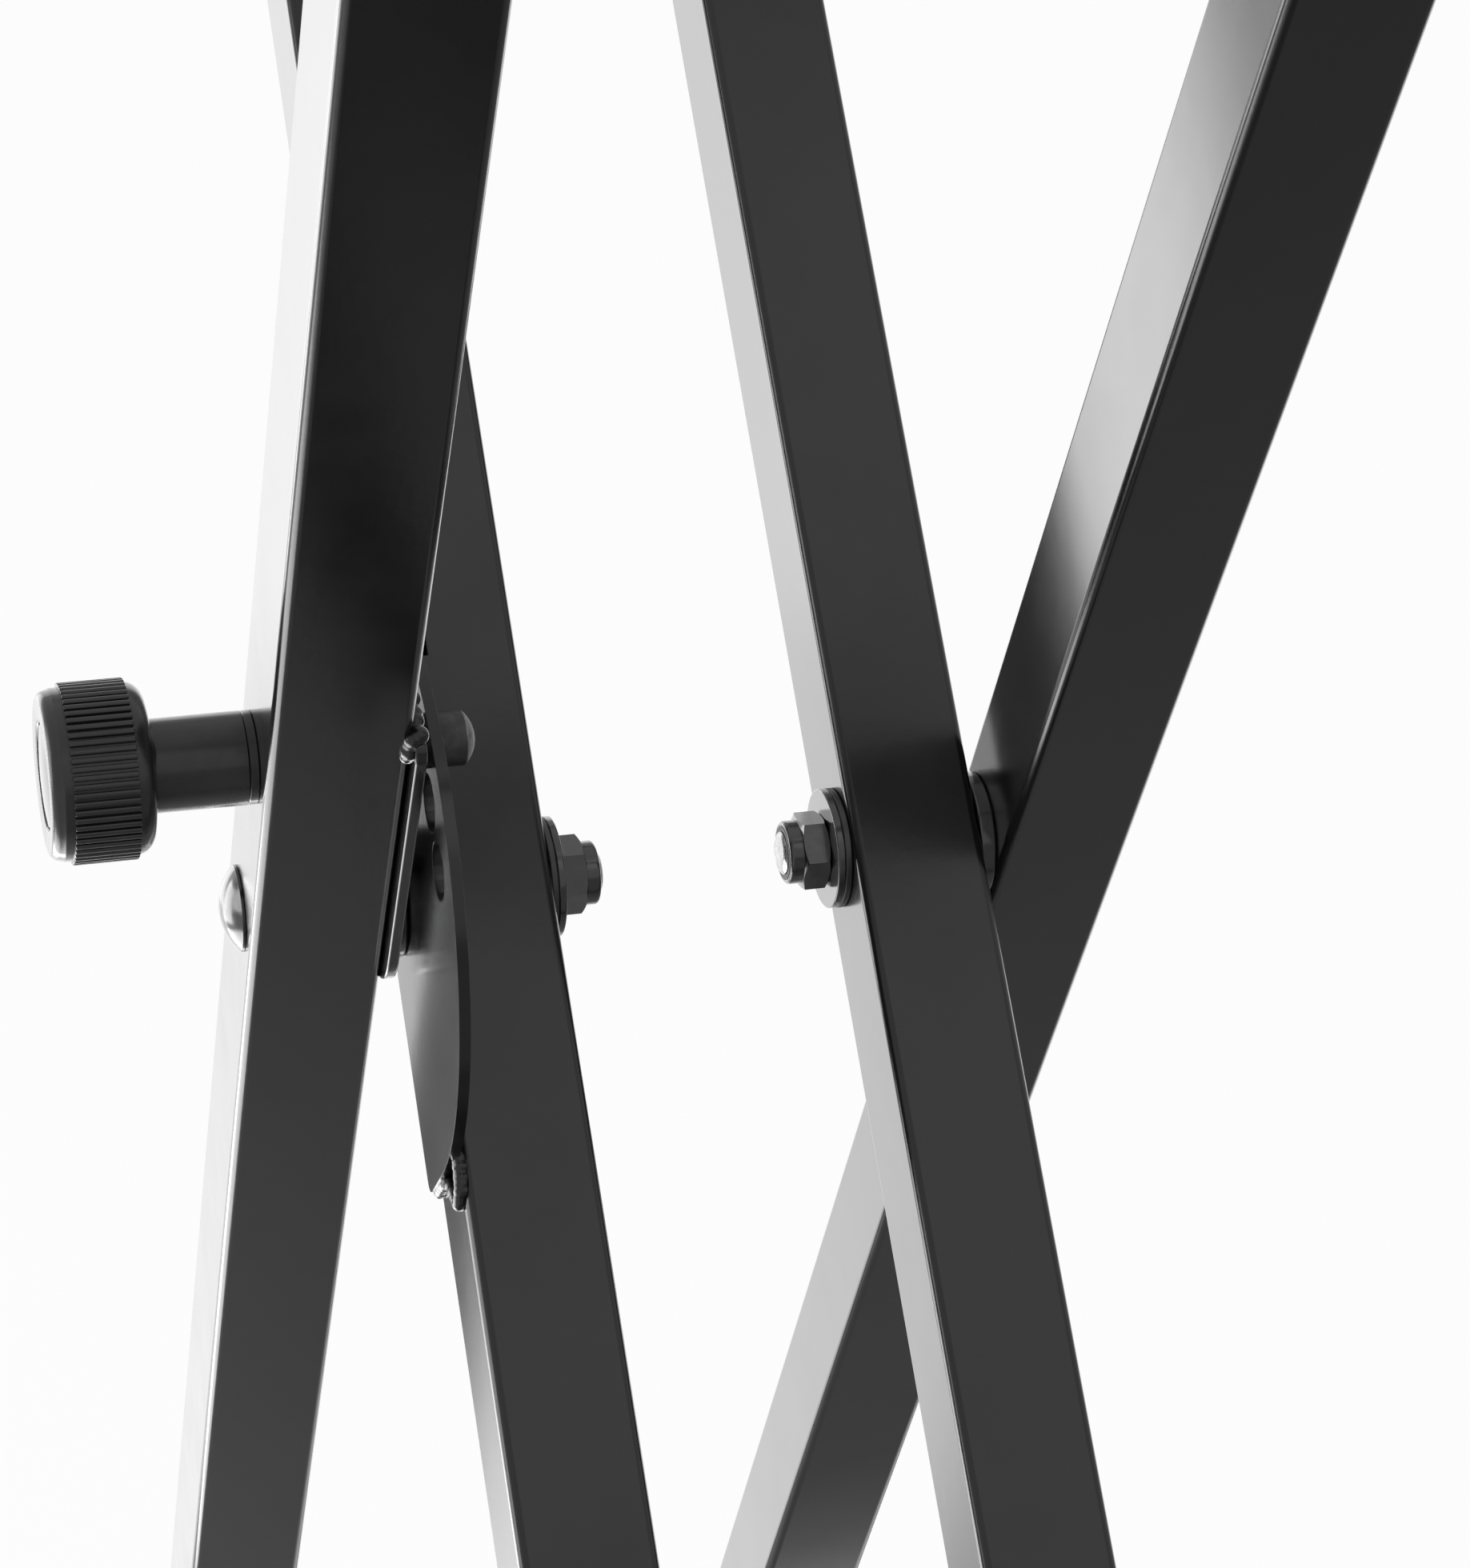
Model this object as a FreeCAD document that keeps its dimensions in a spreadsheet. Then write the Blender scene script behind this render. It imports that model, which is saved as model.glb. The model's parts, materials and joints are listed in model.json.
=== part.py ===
import FreeCAD, Part
import math
import os
import Sketcher
from FreeCAD import Vector

# A double-X folding keyboard stand. Two outer legs with their top arm and foot bar make one frame,
# two inner legs with theirs the other, and the frames turn on a bolt through each pair of legs.
# A sprung pin in the front outer leg drops into holes of a lock plate on the front inner leg.
# Frame of the part: +Z up, +Y from the pull knob towards the rear legs, X the way the legs spread.
# Origin: on the floor, in the middle of the stand. All lengths in millimetres, angles in degrees.

doc = FreeCAD.newDocument("folding_keyboard_stand")
sheet = doc.addObject("Spreadsheet::Sheet", "sizes")
sheet_rows = []


class Size:
    """A length, angle or count: its value now, and its formula in the cells of the sheet."""

    def __init__(self, value, formula):
        self.value = value
        self.formula = formula

    def joined(self, sign, other, value):
        return Size(value, f"({self.formula} {sign} {size_of(other).formula})")

    def __add__(self, other):
        return self.joined("+", other, self.value + size_of(other).value)

    def __sub__(self, other):
        return self.joined("-", other, self.value - size_of(other).value)

    def __mul__(self, other):
        return self.joined("*", other, self.value * size_of(other).value)

    def __truediv__(self, other):
        return self.joined("/", other, self.value / size_of(other).value)

    def __neg__(self):
        return Size(-self.value, f"(0 - {self.formula})")


def size_of(amount):
    """A Size from a Size or a plain number."""
    return amount if isinstance(amount, Size) else Size(amount, str(amount))


def cell(name, value, meaning):
    """One driving dimension: a row of the sheet, and the Size that the model uses."""
    sheet_rows.append(name)
    row = len(sheet_rows)
    sheet.set(f"A{row}", meaning)
    sheet.set(f"B{row}", str(value))
    sheet.setAlias(f"B{row}", name)
    return Size(value, f"sizes.{name}")


def cosine(angle):
    return Size(math.cos(math.radians(angle.value)), f"cos({angle.formula})")


def sine(angle):
    return Size(math.sin(math.radians(angle.value)), f"sin({angle.formula})")


# ---------------------------------------------------------------- driving dimensions

# Tubes and frames
TUBE_WIDTH = cell("tube_width", 30, "side of the square tubes")
TUBE_WALL = cell("tube_wall", 1.5, "wall of the square tubes")
TUBE_INNER_CORNER = cell("tube_inner_corner", 0.8, "radius inside a tube's corner")
LEG_LENGTH = cell("leg_length", 950, "length of each leg tube, with the pivot at its middle")
BARE_ARM = cell("bare_arm", 8.5, "bare top arm between an outer leg and its sleeve")
BARE_FOOT = cell("bare_foot", 82.5, "bare foot bar between an outer leg and its boot")
REST_ANGLE = cell("rest_angle", 72.5, "angle between the two frames in the photographed lock hole")
INNER_LEG_GAP = cell("inner_leg_gap", 69.4, "clear space between the two inner legs")
RUNNING_GAP = cell("running_gap", 0.1, "play between flat faces that turn against each other")
SEAT_PLAY = cell("seat_play", 0.1, "clearance all round where one fixed piece goes through another")

# Plates
PLATE_THICKNESS = cell("plate_thickness", 2.5, "thickness of the guide plate and the lock plate")
LOCK_RIM_MARGIN = cell("lock_rim_margin", 2.5, "from the circle round the lock holes to the rim's radius")
LOCK_RIM_OFFSET = cell("lock_rim_offset", 5, "rim centre from the pivot axis, away from the leg")
LOCK_PLATE_CORNER = cell("lock_plate_corner", 3, "radius of the lock plate's two corners")
LOCK_CIRCLE_RADIUS = cell("lock_circle_radius", 57, "pivot axis to locking pin and lock holes")
LOCK_STEP = cell("lock_step", 15, "angle from one lock hole to the next")
LOWER_HOLES = cell("lower_holes", 2, "lock holes for settings lower than the photographed one")
UPPER_HOLES = cell("upper_holes", 4, "lock holes for higher settings, the last for storage")
LOCK_HOLE_DIAMETER = cell("lock_hole_diameter", 13, "diameter of the lock holes")
RIM_ROUNDING = cell("rim_rounding", 0.7, "rounding of the lock plate's front edge")
GUIDE_WIDTH = cell("guide_width", 38, "width of the guide plate")
GUIDE_ABOVE_PIN = cell("guide_above_pin", 22, "top end of the guide plate above the pin's axis")
GUIDE_CORNER = cell("guide_corner", 4, "radius of the guide plate's top corners")
WELD_SIZE = cell("weld_size", 2.5, "leg length of the weld beads")
WELD_INSET = cell("weld_inset", 3, "end of a weld bead from the tube's side")

# Pivot hardware
BOLT_DIAMETER = cell("bolt_diameter", 10, "pivot bolt shank, and side of its square neck")
BOLT_NECK = cell("bolt_neck", 4, "length of the pivot bolt's square neck")
BOLT_HEAD_DIAMETER = cell("bolt_head_diameter", 19.5, "pivot bolt head")
BOLT_HEAD_RIM = cell("bolt_head_rim", 0.9, "height of the head's straight rim")
BOLT_HEAD_HEIGHT = cell("bolt_head_height", 4.5, "height of the domed head")
BOLT_END = cell("bolt_end", 0.8, "pivot bolt standing out of its nut, and its end chamfer")
BUSH_DIAMETER = cell("bush_diameter", 14, "outside of the bush in each inner leg")
BUSH_PLAY = cell("bush_play", 0.06, "radial running clearance of a bush on its bolt")
SPACER_DIAMETER = cell("spacer_diameter", 29, "thick washers between the legs")
FRONT_SPACER = cell("front_spacer", 2.7, "thickness of the spacer at the front pivot")
REAR_SPACER = cell("rear_spacer", 3.6, "thickness of the spacer at the rear pivot")
WASHER_DIAMETER = cell("washer_diameter", 27.4, "washers under the lock nuts")
SLIDE_WASHER = cell("slide_washer", 1.5, "thickness of the nylon washers")
CLAMP_WASHER = cell("clamp_washer", 1.8, "thickness of the steel washers")
NUT_WIDTH = cell("nut_width", 16, "lock nut across flats")
NUT_HEIGHT = cell("nut_height", 9.4, "lock nut, whole height")
NUT_COLLAR = cell("nut_collar", 3, "height of the lock nut's round collar")
NUT_COLLAR_DIAMETER = cell("nut_collar_diameter", 14.6, "the lock nut's round collar")
NUT_RING_DIAMETER = cell("nut_ring_diameter", 12.4, "outside of the nylon ring in the collar")
NUT_RING_HEIGHT = cell("nut_ring_height", 2.2, "height of the nylon ring")

# Locking plunger
PIN_DIAMETER = cell("pin_diameter", 12, "locking pin")
PIN_PLAY = cell("pin_play", 0.08, "radial running clearance of the pin in its guides")
PIN_REACH = cell("pin_reach", 9.7, "pin tip beyond the back of the lock plate")
PIN_DOME = cell("pin_dome", 2.5, "height of the pin's domed tip")
STUD_DIAMETER = cell("stud_diameter", 8, "threaded front end of the pin")
STUD_CHAMFER = cell("stud_chamfer", 0.8, "chamfer on the end of the pin's thread")
STOP_DIAMETER = cell("stop_diameter", 17, "stop collar on the pin")
STOP_THICKNESS = cell("stop_thickness", 3.3, "thickness of the stop collar")
HOUSING_FLANGE = cell("housing_flange", 2, "flange of the plunger housing outside the leg")
HOUSING_DIAMETER = cell("housing_diameter", 16, "barrel of the plunger housing")
HOUSING_REACH = cell("housing_reach", 20, "front end of the barrel from the leg's face")
HOUSING_INSIDE = cell("housing_inside", 3.5, "rear end of the barrel behind the leg's front face")
SPRING_WIRE = cell("spring_wire", 1.4, "spring wire")
SPRING_DIAMETER = cell("spring_diameter", 14.2, "spring, mean diameter of its coils")
SPRING_TURNS = cell("spring_turns", 6, "turns of the spring")
KNOB_DIAMETER = cell("knob_diameter", 36.5, "smooth body of the pull knob")
KNOB_FRONT = cell("knob_front", 44, "front face of the knob from the leg's face")
KNOB_BACK = cell("knob_back", 22.2, "back shoulder of the knob from the leg's face")
KNOB_EDGE = cell("knob_edge", 1.8, "rounding of the knob's front edge")
KNOB_SHOULDER = cell("knob_shoulder", 4, "rounding of the knob's back shoulder")
KNOB_ROOT = cell("knob_root", 1.2, "fillet where the neck meets the shoulder")
NECK_DIAMETER = cell("neck_diameter", 20, "neck of the knob, and the housing's flange")
NECK_PLAY = cell("neck_play", 0.3, "radial clearance of the hollow neck round the barrel")
WEB_BACK = cell("web_back", 23, "back of the web inside the knob from the leg's face")
WEB_FRONT = cell("web_front", 33.5, "nut's seat inside the knob from the leg's face")
KNOB_NUT_WIDTH = cell("knob_nut_width", 13, "nut in the knob, across flats")
KNOB_NUT_HEIGHT = cell("knob_nut_height", 6.5, "height of the nut in the knob")
NUT_POCKET_PLAY = cell("nut_pocket_play", 0.5, "room round the nut's corners in its pocket")
CAP_DIAMETER = cell("cap_diameter", 23, "cap let into the knob's front face")
CAP_DEPTH = cell("cap_depth", 1.6, "depth of the cap's seat")
CAP_DOME = cell("cap_dome", 0.7, "height of the cap's dome")
RIB_HEIGHT = cell("rib_height", 0.9, "grip ribs beyond the knob's smooth body")
RIB_BAND_FRONT = cell("rib_band_front", 39.6, "front end of the ribbed band from the leg's face")
RIB_BAND_BACK = cell("rib_band_back", 25.9, "back end of the ribbed band from the leg's face")
RIB_COUNT = cell("rib_count", 64, "grip ribs round the knob")
RIB_SHARE = cell("rib_share", 0.5, "share of the pitch that a groove's mouth takes")

# Arm and foot fixings
INSERT_HEIGHT = cell("insert_height", 15, "threaded plug in a leg's end")
INSERT_RELIEF = cell("insert_relief", 0.5, "extra rounding on the plug's corners")
SCREW_DIAMETER = cell("screw_diameter", 8, "screws through arms and foot bars")
SCREW_GRIP = cell("screw_grip", 14, "length of screw in the plug")
SCREW_HEAD_DIAMETER = cell("screw_head_diameter", 14, "button head of the screws")
SCREW_HEAD_RIM = cell("screw_head_rim", 0.8, "height of the button head's straight rim")
SCREW_HEAD_HEIGHT = cell("screw_head_height", 4.4, "height of the button head")
SOCKET_WIDTH = cell("socket_width", 5, "hexagon socket across flats")
SOCKET_DEPTH = cell("socket_depth", 2.6, "depth of the hexagon socket")
SCREW_HOLE_PLAY = cell("screw_hole_play", 0.4, "hole diameter over the screw")

# Rubber parts
SLEEVE_WALL = cell("sleeve_wall", 3, "wall of the arm sleeves")
SLEEVE_CORNER = cell("sleeve_corner", 5, "corner radius of the arm sleeves")
SLEEVE_COVER = cell("sleeve_cover", 76, "length of arm that a sleeve covers")
SLEEVE_END = cell("sleeve_end", 4, "closed end of an arm sleeve")
SLEEVE_GROOVES = cell("sleeve_grooves", 9, "grip grooves round an arm sleeve")
BOOT_WALL = cell("boot_wall", 5, "wall of the foot boots")
BOOT_CORNER = cell("boot_corner", 8, "corner radius of the foot boots")
BOOT_COVER = cell("boot_cover", 42, "length of foot bar that a boot covers")
BOOT_END = cell("boot_end", 5, "closed end of a foot boot")
BOOT_GROOVES = cell("boot_grooves", 4, "tread grooves round a foot boot")
GROOVE_WIDTH = cell("groove_width", 2.4, "width of the grooves in the rubber")
GROOVE_DEPTH = cell("groove_depth", 1.1, "depth of the grooves in the rubber")
GROOVE_PITCH = cell("groove_pitch", 7, "spacing of the grooves in the rubber")
GROOVE_START = cell("groove_start", 8, "first groove from the end of the tube")
RUBBER_EDGE = cell("rubber_edge", 2, "rounding of a rubber part's closed end")

# ---------------------------------------------------------------- places worked out from them

HALF_ANGLE = REST_ANGLE / 2
TUBE_HALF = TUBE_WIDTH / 2
TUBE_OUTER_CORNER = TUBE_INNER_CORNER + TUBE_WALL
LEG_HALF = LEG_LENGTH / 2
BAR_REACH = LEG_HALF + TUBE_HALF

LOCK_RIM_RADIUS = LOCK_CIRCLE_RADIUS + LOCK_HOLE_DIAMETER / 2 + LOCK_RIM_MARGIN
GUIDE_TOP = LOCK_CIRCLE_RADIUS + GUIDE_ABOVE_PIN

BOOT_WIDTH = TUBE_WIDTH + BOOT_WALL * 2
BOOT_DROP = (BOOT_WIDTH / 2 - BOOT_CORNER) * (cosine(HALF_ANGLE) + sine(HALF_ANGLE)) + BOOT_CORNER
PIVOT_HEIGHT = BAR_REACH * cosine(HALF_ANGLE) + BOOT_DROP

# The layers along the pivot axis, from the front outer leg's back face to the lock plate's back
FRONT_GAP = PLATE_THICKNESS * 2 + FRONT_SPACER + RUNNING_GAP
REAR_GAP = REAR_SPACER + RUNNING_GAP
STAND_DEPTH = TUBE_WIDTH * 4 + FRONT_GAP + INNER_LEG_GAP + REAR_GAP
ARM_LENGTH = STAND_DEPTH + (SLEEVE_COVER + BARE_ARM) * 2
FOOT_LENGTH = STAND_DEPTH + (BOOT_COVER + BARE_FOOT) * 2

# Front faces of the four legs, and their middles
OUTER_FRONT_FACE = -STAND_DEPTH / 2
INNER_FRONT_FACE = OUTER_FRONT_FACE + TUBE_WIDTH + FRONT_GAP
INNER_REAR_FACE = INNER_FRONT_FACE + TUBE_WIDTH + INNER_LEG_GAP
OUTER_REAR_FACE = INNER_REAR_FACE + TUBE_WIDTH + REAR_GAP
OUTER_FRONT_MIDDLE = OUTER_FRONT_FACE + TUBE_HALF
INNER_FRONT_MIDDLE = INNER_FRONT_FACE + TUBE_HALF
INNER_REAR_MIDDLE = INNER_REAR_FACE + TUBE_HALF
OUTER_REAR_MIDDLE = OUTER_REAR_FACE + TUBE_HALF

# What lies under each lock nut, and what a pivot bolt clamps between head and nut
WASHER_STACK = RUNNING_GAP + SLIDE_WASHER + CLAMP_WASHER
FRONT_CLAMP = TUBE_WIDTH * 2 + FRONT_GAP + WASHER_STACK
REAR_CLAMP = TUBE_WIDTH * 2 + REAR_GAP + WASHER_STACK

# The pin's tip, from the front outer leg's front face
PIN_TIP = TUBE_WIDTH + FRONT_GAP + PIN_REACH

doc.recompute()


# ---------------------------------------------------------------- drawing helpers

FRONT_PLANE = "XZ_Plane"
TOP_PLANE = "XY_Plane"
SIDE_PLANE = "YZ_Plane"


def hold_point(sketch, geometry, point, x, y):
    """Holds one point of a sketch at x, y from the sketch's origin, or on its own axis lines."""
    for kind, line, amount in (("DistanceX", -2, x), ("DistanceY", -1, y)):
        amount = size_of(amount)
        if amount.formula == "0":
            sketch.addConstraint(Sketcher.Constraint("PointOnObject", geometry, point, line))
            continue
        held = Sketcher.Constraint(kind, -1, 1, geometry, point, amount.value)
        index = sketch.addConstraint(held)
        sketch.setExpression(f"Constraints[{index}]", amount.formula)


def arc_between(start, end, radius):
    """The short arc from start to end; it turns left for a positive radius, else right."""
    chord = end - start
    rise = math.sqrt(max(radius ** 2 - (chord.Length / 2) ** 2, 0))
    left = Vector(-chord.y, chord.x, 0).normalize()
    centre = (start + end) / 2 + left * math.copysign(rise, radius)
    first, last = (start, end) if radius > 0 else (end, start)
    angles = [math.atan2(p.y - centre.y, p.x - centre.x) for p in (first, last)]
    if angles[1] < angles[0]:
        angles[1] += 2 * math.pi
    return Part.ArcOfCircle(Part.Circle(centre, Vector(0, 0, 1), abs(radius)), *angles)


def outline(sketch, corners):
    """Draws a closed outline through (x, y) corners, each held from the sketch's origin.

    A third item makes the edge that leaves the corner an arc: its radius, negative to turn right.
    """
    edges = []
    for here, after in zip(corners, corners[1:] + corners[:1]):
        start, end = (Vector(size_of(c[0]).value, size_of(c[1]).value, 0) for c in (here, after))
        if len(here) == 2:
            index = sketch.addGeometry(Part.LineSegment(start, end), False)
            edges.append((index, 1, 2))
            continue
        radius = size_of(here[2])
        index = sketch.addGeometry(arc_between(start, end, radius.value), False)
        edges.append((index, 1, 2) if radius.value > 0 else (index, 2, 1))
        size = radius if radius.value > 0 else -radius
        held = sketch.addConstraint(Sketcher.Constraint("Radius", index, size.value))
        sketch.setExpression(f"Constraints[{held}]", size.formula)
    for (index, start, _), (before, _, end), corner in zip(edges, edges[-1:] + edges[:-1], corners):
        sketch.addConstraint(Sketcher.Constraint("Coincident", before, end, index, start))
        hold_point(sketch, index, start, corner[0], corner[1])


def rounded_rectangle(sketch, width, height, radius):
    """A rectangle about the sketch's origin with round corners."""
    x, y = width / 2, height / 2
    outline(sketch, [
        (x, radius - y), (x, y - radius, radius),
        (x - radius, y), (radius - x, y, radius),
        (-x, y - radius), (-x, radius - y, radius),
        (radius - x, -y), (x - radius, -y, radius),
    ])


def rectangle(sketch, left, bottom, right, top):
    outline(sketch, [(left, bottom), (right, bottom), (right, top), (left, top)])


def hexagon(sketch, across_flats):
    """A hexagon about the sketch's origin, with two flats parallel to the sketch's X."""
    flat = across_flats / 2
    corner = across_flats / math.sqrt(3)
    outline(sketch, [
        (corner, 0), (corner / 2, flat), (-corner / 2, flat),
        (-corner, 0), (-corner / 2, -flat), (corner / 2, -flat),
    ])


def circle(sketch, x, y, diameter):
    centre = Vector(size_of(x).value, size_of(y).value, 0)
    made = Part.Circle(centre, Vector(0, 0, 1), size_of(diameter).value / 2)
    index = sketch.addGeometry(made, False)
    held = sketch.addConstraint(Sketcher.Constraint("Diameter", index, size_of(diameter).value))
    sketch.setExpression(f"Constraints[{held}]", size_of(diameter).formula)
    hold_point(sketch, index, 3, x, y)


def sphere_radius(half_width, height):
    """Radius of the arc that rises to height over half_width."""
    return (half_width * half_width + height * height) / (height * 2)


class Piece:
    """A body, and the features that make it."""

    def __init__(self, name):
        self.body = doc.addObject("PartDesign::Body", name)
        self.body.Label = name

    def origin(self, role):
        return next(f for f in self.body.Origin.OriginFeatures if f.Role == role)

    def sketch(self, plane, offset=0):
        """A sketch on one of the body's planes, moved by offset along the plane's normal."""
        made = self.body.newObject("Sketcher::SketchObject", f"{self.body.Name}_sketch")
        made.AttachmentSupport = [(self.origin(plane), "")]
        made.MapMode = "FlatFace"
        made.setExpression("AttachmentOffset.Base.z", size_of(offset).formula)
        return made

    def feature(self, kind, sketch):
        made = self.body.newObject(f"PartDesign::{kind}", f"{self.body.Name}_{kind.lower()}")
        made.Profile = sketch
        return made

    def pad(self, sketch, length, both_ways=False, reverse=False):
        made = self.feature("Pad", sketch)
        made.setExpression("Length", size_of(length).formula)
        made.SideType = "Symmetric" if both_ways else "One side"
        made.Reversed = reverse
        return made

    def pocket(self, sketch, depth=None, both_ways=False, reverse=False):
        """Cuts to a depth, or through everything where no depth is given."""
        made = self.feature("Pocket", sketch)
        if depth is None:
            made.Type = "ThroughAll"
        else:
            made.setExpression("Length", size_of(depth).formula)
        made.SideType = "Symmetric" if both_ways else "One side"
        made.Reversed = reverse
        return made

    def revolve(self, sketch, kind="Revolution"):
        """Turns a sketch about its own upright axis."""
        made = self.feature(kind, sketch)
        made.ReferenceAxis = (sketch, ["V_Axis"])
        made.Angle = 360
        return made

    def polar_pattern(self, original, axis, angle, count, reverse=False):
        made = self.body.newObject("PartDesign::PolarPattern", f"{self.body.Name}_polar")
        made.Originals = [original]
        made.Axis = (self.origin(axis), [""])
        made.setExpression("Angle", size_of(angle).formula)
        made.setExpression("Occurrences", size_of(count).formula)
        made.Reversed = reverse
        self.body.Tip = made

    def linear_pattern(self, original, axis, length, count):
        made = self.body.newObject("PartDesign::LinearPattern", f"{self.body.Name}_linear")
        made.Originals = [original]
        made.Direction = (self.origin(axis), [""])
        made.setExpression("Length", size_of(length).formula)
        made.setExpression("Occurrences", size_of(count).formula)
        self.body.Tip = made

    def round_edges(self, chosen, radius):
        """Fillets the edges of the body so far that chosen says yes to."""
        doc.recompute()
        base = self.body.Tip
        names = [f"Edge{i}" for i, edge in enumerate(base.Shape.Edges, 1) if chosen(edge)]
        made = self.body.newObject("PartDesign::Fillet", f"{self.body.Name}_fillet")
        made.Base = (base, names)
        made.setExpression("Radius", size_of(radius).formula)


def lies_at_depth(depth):
    """Picks edges that lie wholly in the plane Y = depth."""
    return lambda edge: all(abs(v.Y - depth.value) < 1e-6 for v in edge.Vertexes)


# ---------------------------------------------------------------- placing in the stand

parts = []
HALF_TURN_UPRIGHT = " * rotation(vector(0; 0; 1); 180)"
HALF_TURN_LEVEL = " * rotation(vector(1; 0; 0); 180)"


class Frame:
    """One leaning frame. Its places are given across the legs, in depth, and up along the legs."""

    def __init__(self, tilt):
        self.tilt = tilt

    def place(self, depth, along=0, turn=""):
        """The formula of a placement with the frame's tilt about the pivot axis."""
        along = size_of(along)
        x = along * sine(self.tilt)
        z = along * cosine(self.tilt) + PIVOT_HEIGHT
        spot = f"vector({x.formula}; {size_of(depth).formula}; {z.formula})"
        return f"placement({spot}; rotation(vector(0; 1; 0); {self.tilt.formula}){turn})"


OUTER = Frame(HALF_ANGLE)
INNER = Frame(-HALF_ANGLE)


def put(piece, placement):
    """Places a piece, which becomes one node of the stand."""
    piece.body.setExpression("Placement", placement)
    parts.append(piece.body)


def put_group(name, pattern, placements):
    """Places copies of one body, which together become one node."""
    copies = []
    for placement in placements:
        copy = doc.addObject("App::Link", f"{name}_copy")
        copy.LinkedObject = pattern.body
        copy.setExpression("Placement", placement)
        copies.append(copy)
    group = doc.addObject("Part::Compound", name)
    group.Label = name
    group.Links = copies
    parts.append(group)


# ---------------------------------------------------------------- square tubes


def square_tube(name, plane, length):
    """A square tube about the origin, drawn on the plane that it runs square to."""
    piece = Piece(name)
    sketch = piece.sketch(plane)
    bore = TUBE_WIDTH - TUBE_WALL * 2
    rounded_rectangle(sketch, TUBE_WIDTH, TUBE_WIDTH, TUBE_OUTER_CORNER)
    rounded_rectangle(sketch, bore, bore, TUBE_INNER_CORNER)
    piece.pad(sketch, length, both_ways=True)
    return piece


def outer_leg(name):
    """A leg with a round hole for the pivot bolt and a square one for its neck at the front."""
    piece = square_tube(name, TOP_PLANE, LEG_LENGTH)
    sketch = piece.sketch(FRONT_PLANE)
    circle(sketch, 0, 0, BOLT_DIAMETER + SEAT_PLAY * 2)
    piece.pocket(sketch, both_ways=True)
    sketch = piece.sketch(FRONT_PLANE)
    half = BOLT_DIAMETER / 2 + SEAT_PLAY
    rectangle(sketch, -half, -half, half, half)
    piece.pocket(sketch, reverse=True)
    return piece


def make_outer_legs():
    front = outer_leg("outer_front_leg")
    sketch = front.sketch(FRONT_PLANE)
    circle(sketch, 0, LOCK_CIRCLE_RADIUS, HOUSING_DIAMETER)
    front.pocket(sketch, reverse=True)
    sketch = front.sketch(FRONT_PLANE)
    circle(sketch, 0, LOCK_CIRCLE_RADIUS, LOCK_HOLE_DIAMETER)
    front.pocket(sketch)
    put(front, OUTER.place(OUTER_FRONT_MIDDLE))
    put(outer_leg("outer_rear_leg"), OUTER.place(OUTER_REAR_MIDDLE, turn=HALF_TURN_UPRIGHT))


def inner_leg(name):
    """A leg with a hole right through for its pivot bush."""
    piece = square_tube(name, TOP_PLANE, LEG_LENGTH)
    sketch = piece.sketch(FRONT_PLANE)
    circle(sketch, 0, 0, BUSH_DIAMETER)
    piece.pocket(sketch, both_ways=True)
    return piece


def make_inner_legs():
    front = inner_leg("inner_front_leg")
    # the storage hole goes on from the lock plate into the edge of the leg
    storage = REST_ANGLE - LOCK_STEP * UPPER_HOLES
    sketch = front.sketch(FRONT_PLANE, TUBE_HALF)
    spot = LOCK_CIRCLE_RADIUS * sine(storage), LOCK_CIRCLE_RADIUS * cosine(storage)
    circle(sketch, *spot, LOCK_HOLE_DIAMETER)
    front.pocket(sketch, PIN_REACH + SEAT_PLAY)
    put(front, INNER.place(INNER_FRONT_MIDDLE))
    put(inner_leg("inner_rear_leg"), INNER.place(INNER_REAR_MIDDLE))


def cross_bar(name, length, leg_depths):
    """An arm or foot bar along Y with a screw hole over each leg."""
    piece = square_tube(name, FRONT_PLANE, length)
    sketch = piece.sketch(TOP_PLANE)
    for depth in leg_depths:
        circle(sketch, 0, depth, SCREW_DIAMETER + SCREW_HOLE_PLAY)
    piece.pocket(sketch, both_ways=True)
    return piece


def leg_insert(name):
    """A threaded plug that fills the end of a leg, its outer face at the origin."""
    piece = Piece(name)
    sketch = piece.sketch(TOP_PLANE)
    width = TUBE_WIDTH - TUBE_WALL * 2
    rounded_rectangle(sketch, width, width, TUBE_INNER_CORNER + INSERT_RELIEF)
    circle(sketch, 0, 0, SCREW_DIAMETER)
    piece.pad(sketch, INSERT_HEIGHT, reverse=True)
    return piece


def button_screw(name):
    """A button head screw with a hexagon socket, its seat at the origin and its head up."""
    piece = Piece(name)
    shank, head = SCREW_DIAMETER / 2, SCREW_HEAD_DIAMETER / 2
    length = TUBE_WIDTH + SCREW_GRIP
    dome = sphere_radius(head, SCREW_HEAD_HEIGHT - SCREW_HEAD_RIM)
    sketch = piece.sketch(FRONT_PLANE)
    outline(sketch, [
        (0, -length), (shank, -length), (shank, 0), (head, 0),
        (head, SCREW_HEAD_RIM, dome), (0, SCREW_HEAD_HEIGHT),
    ])
    piece.revolve(sketch)
    sketch = piece.sketch(TOP_PLANE, SCREW_HEAD_HEIGHT)
    hexagon(sketch, SOCKET_WIDTH)
    piece.pocket(sketch, SOCKET_DEPTH)
    return piece


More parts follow.
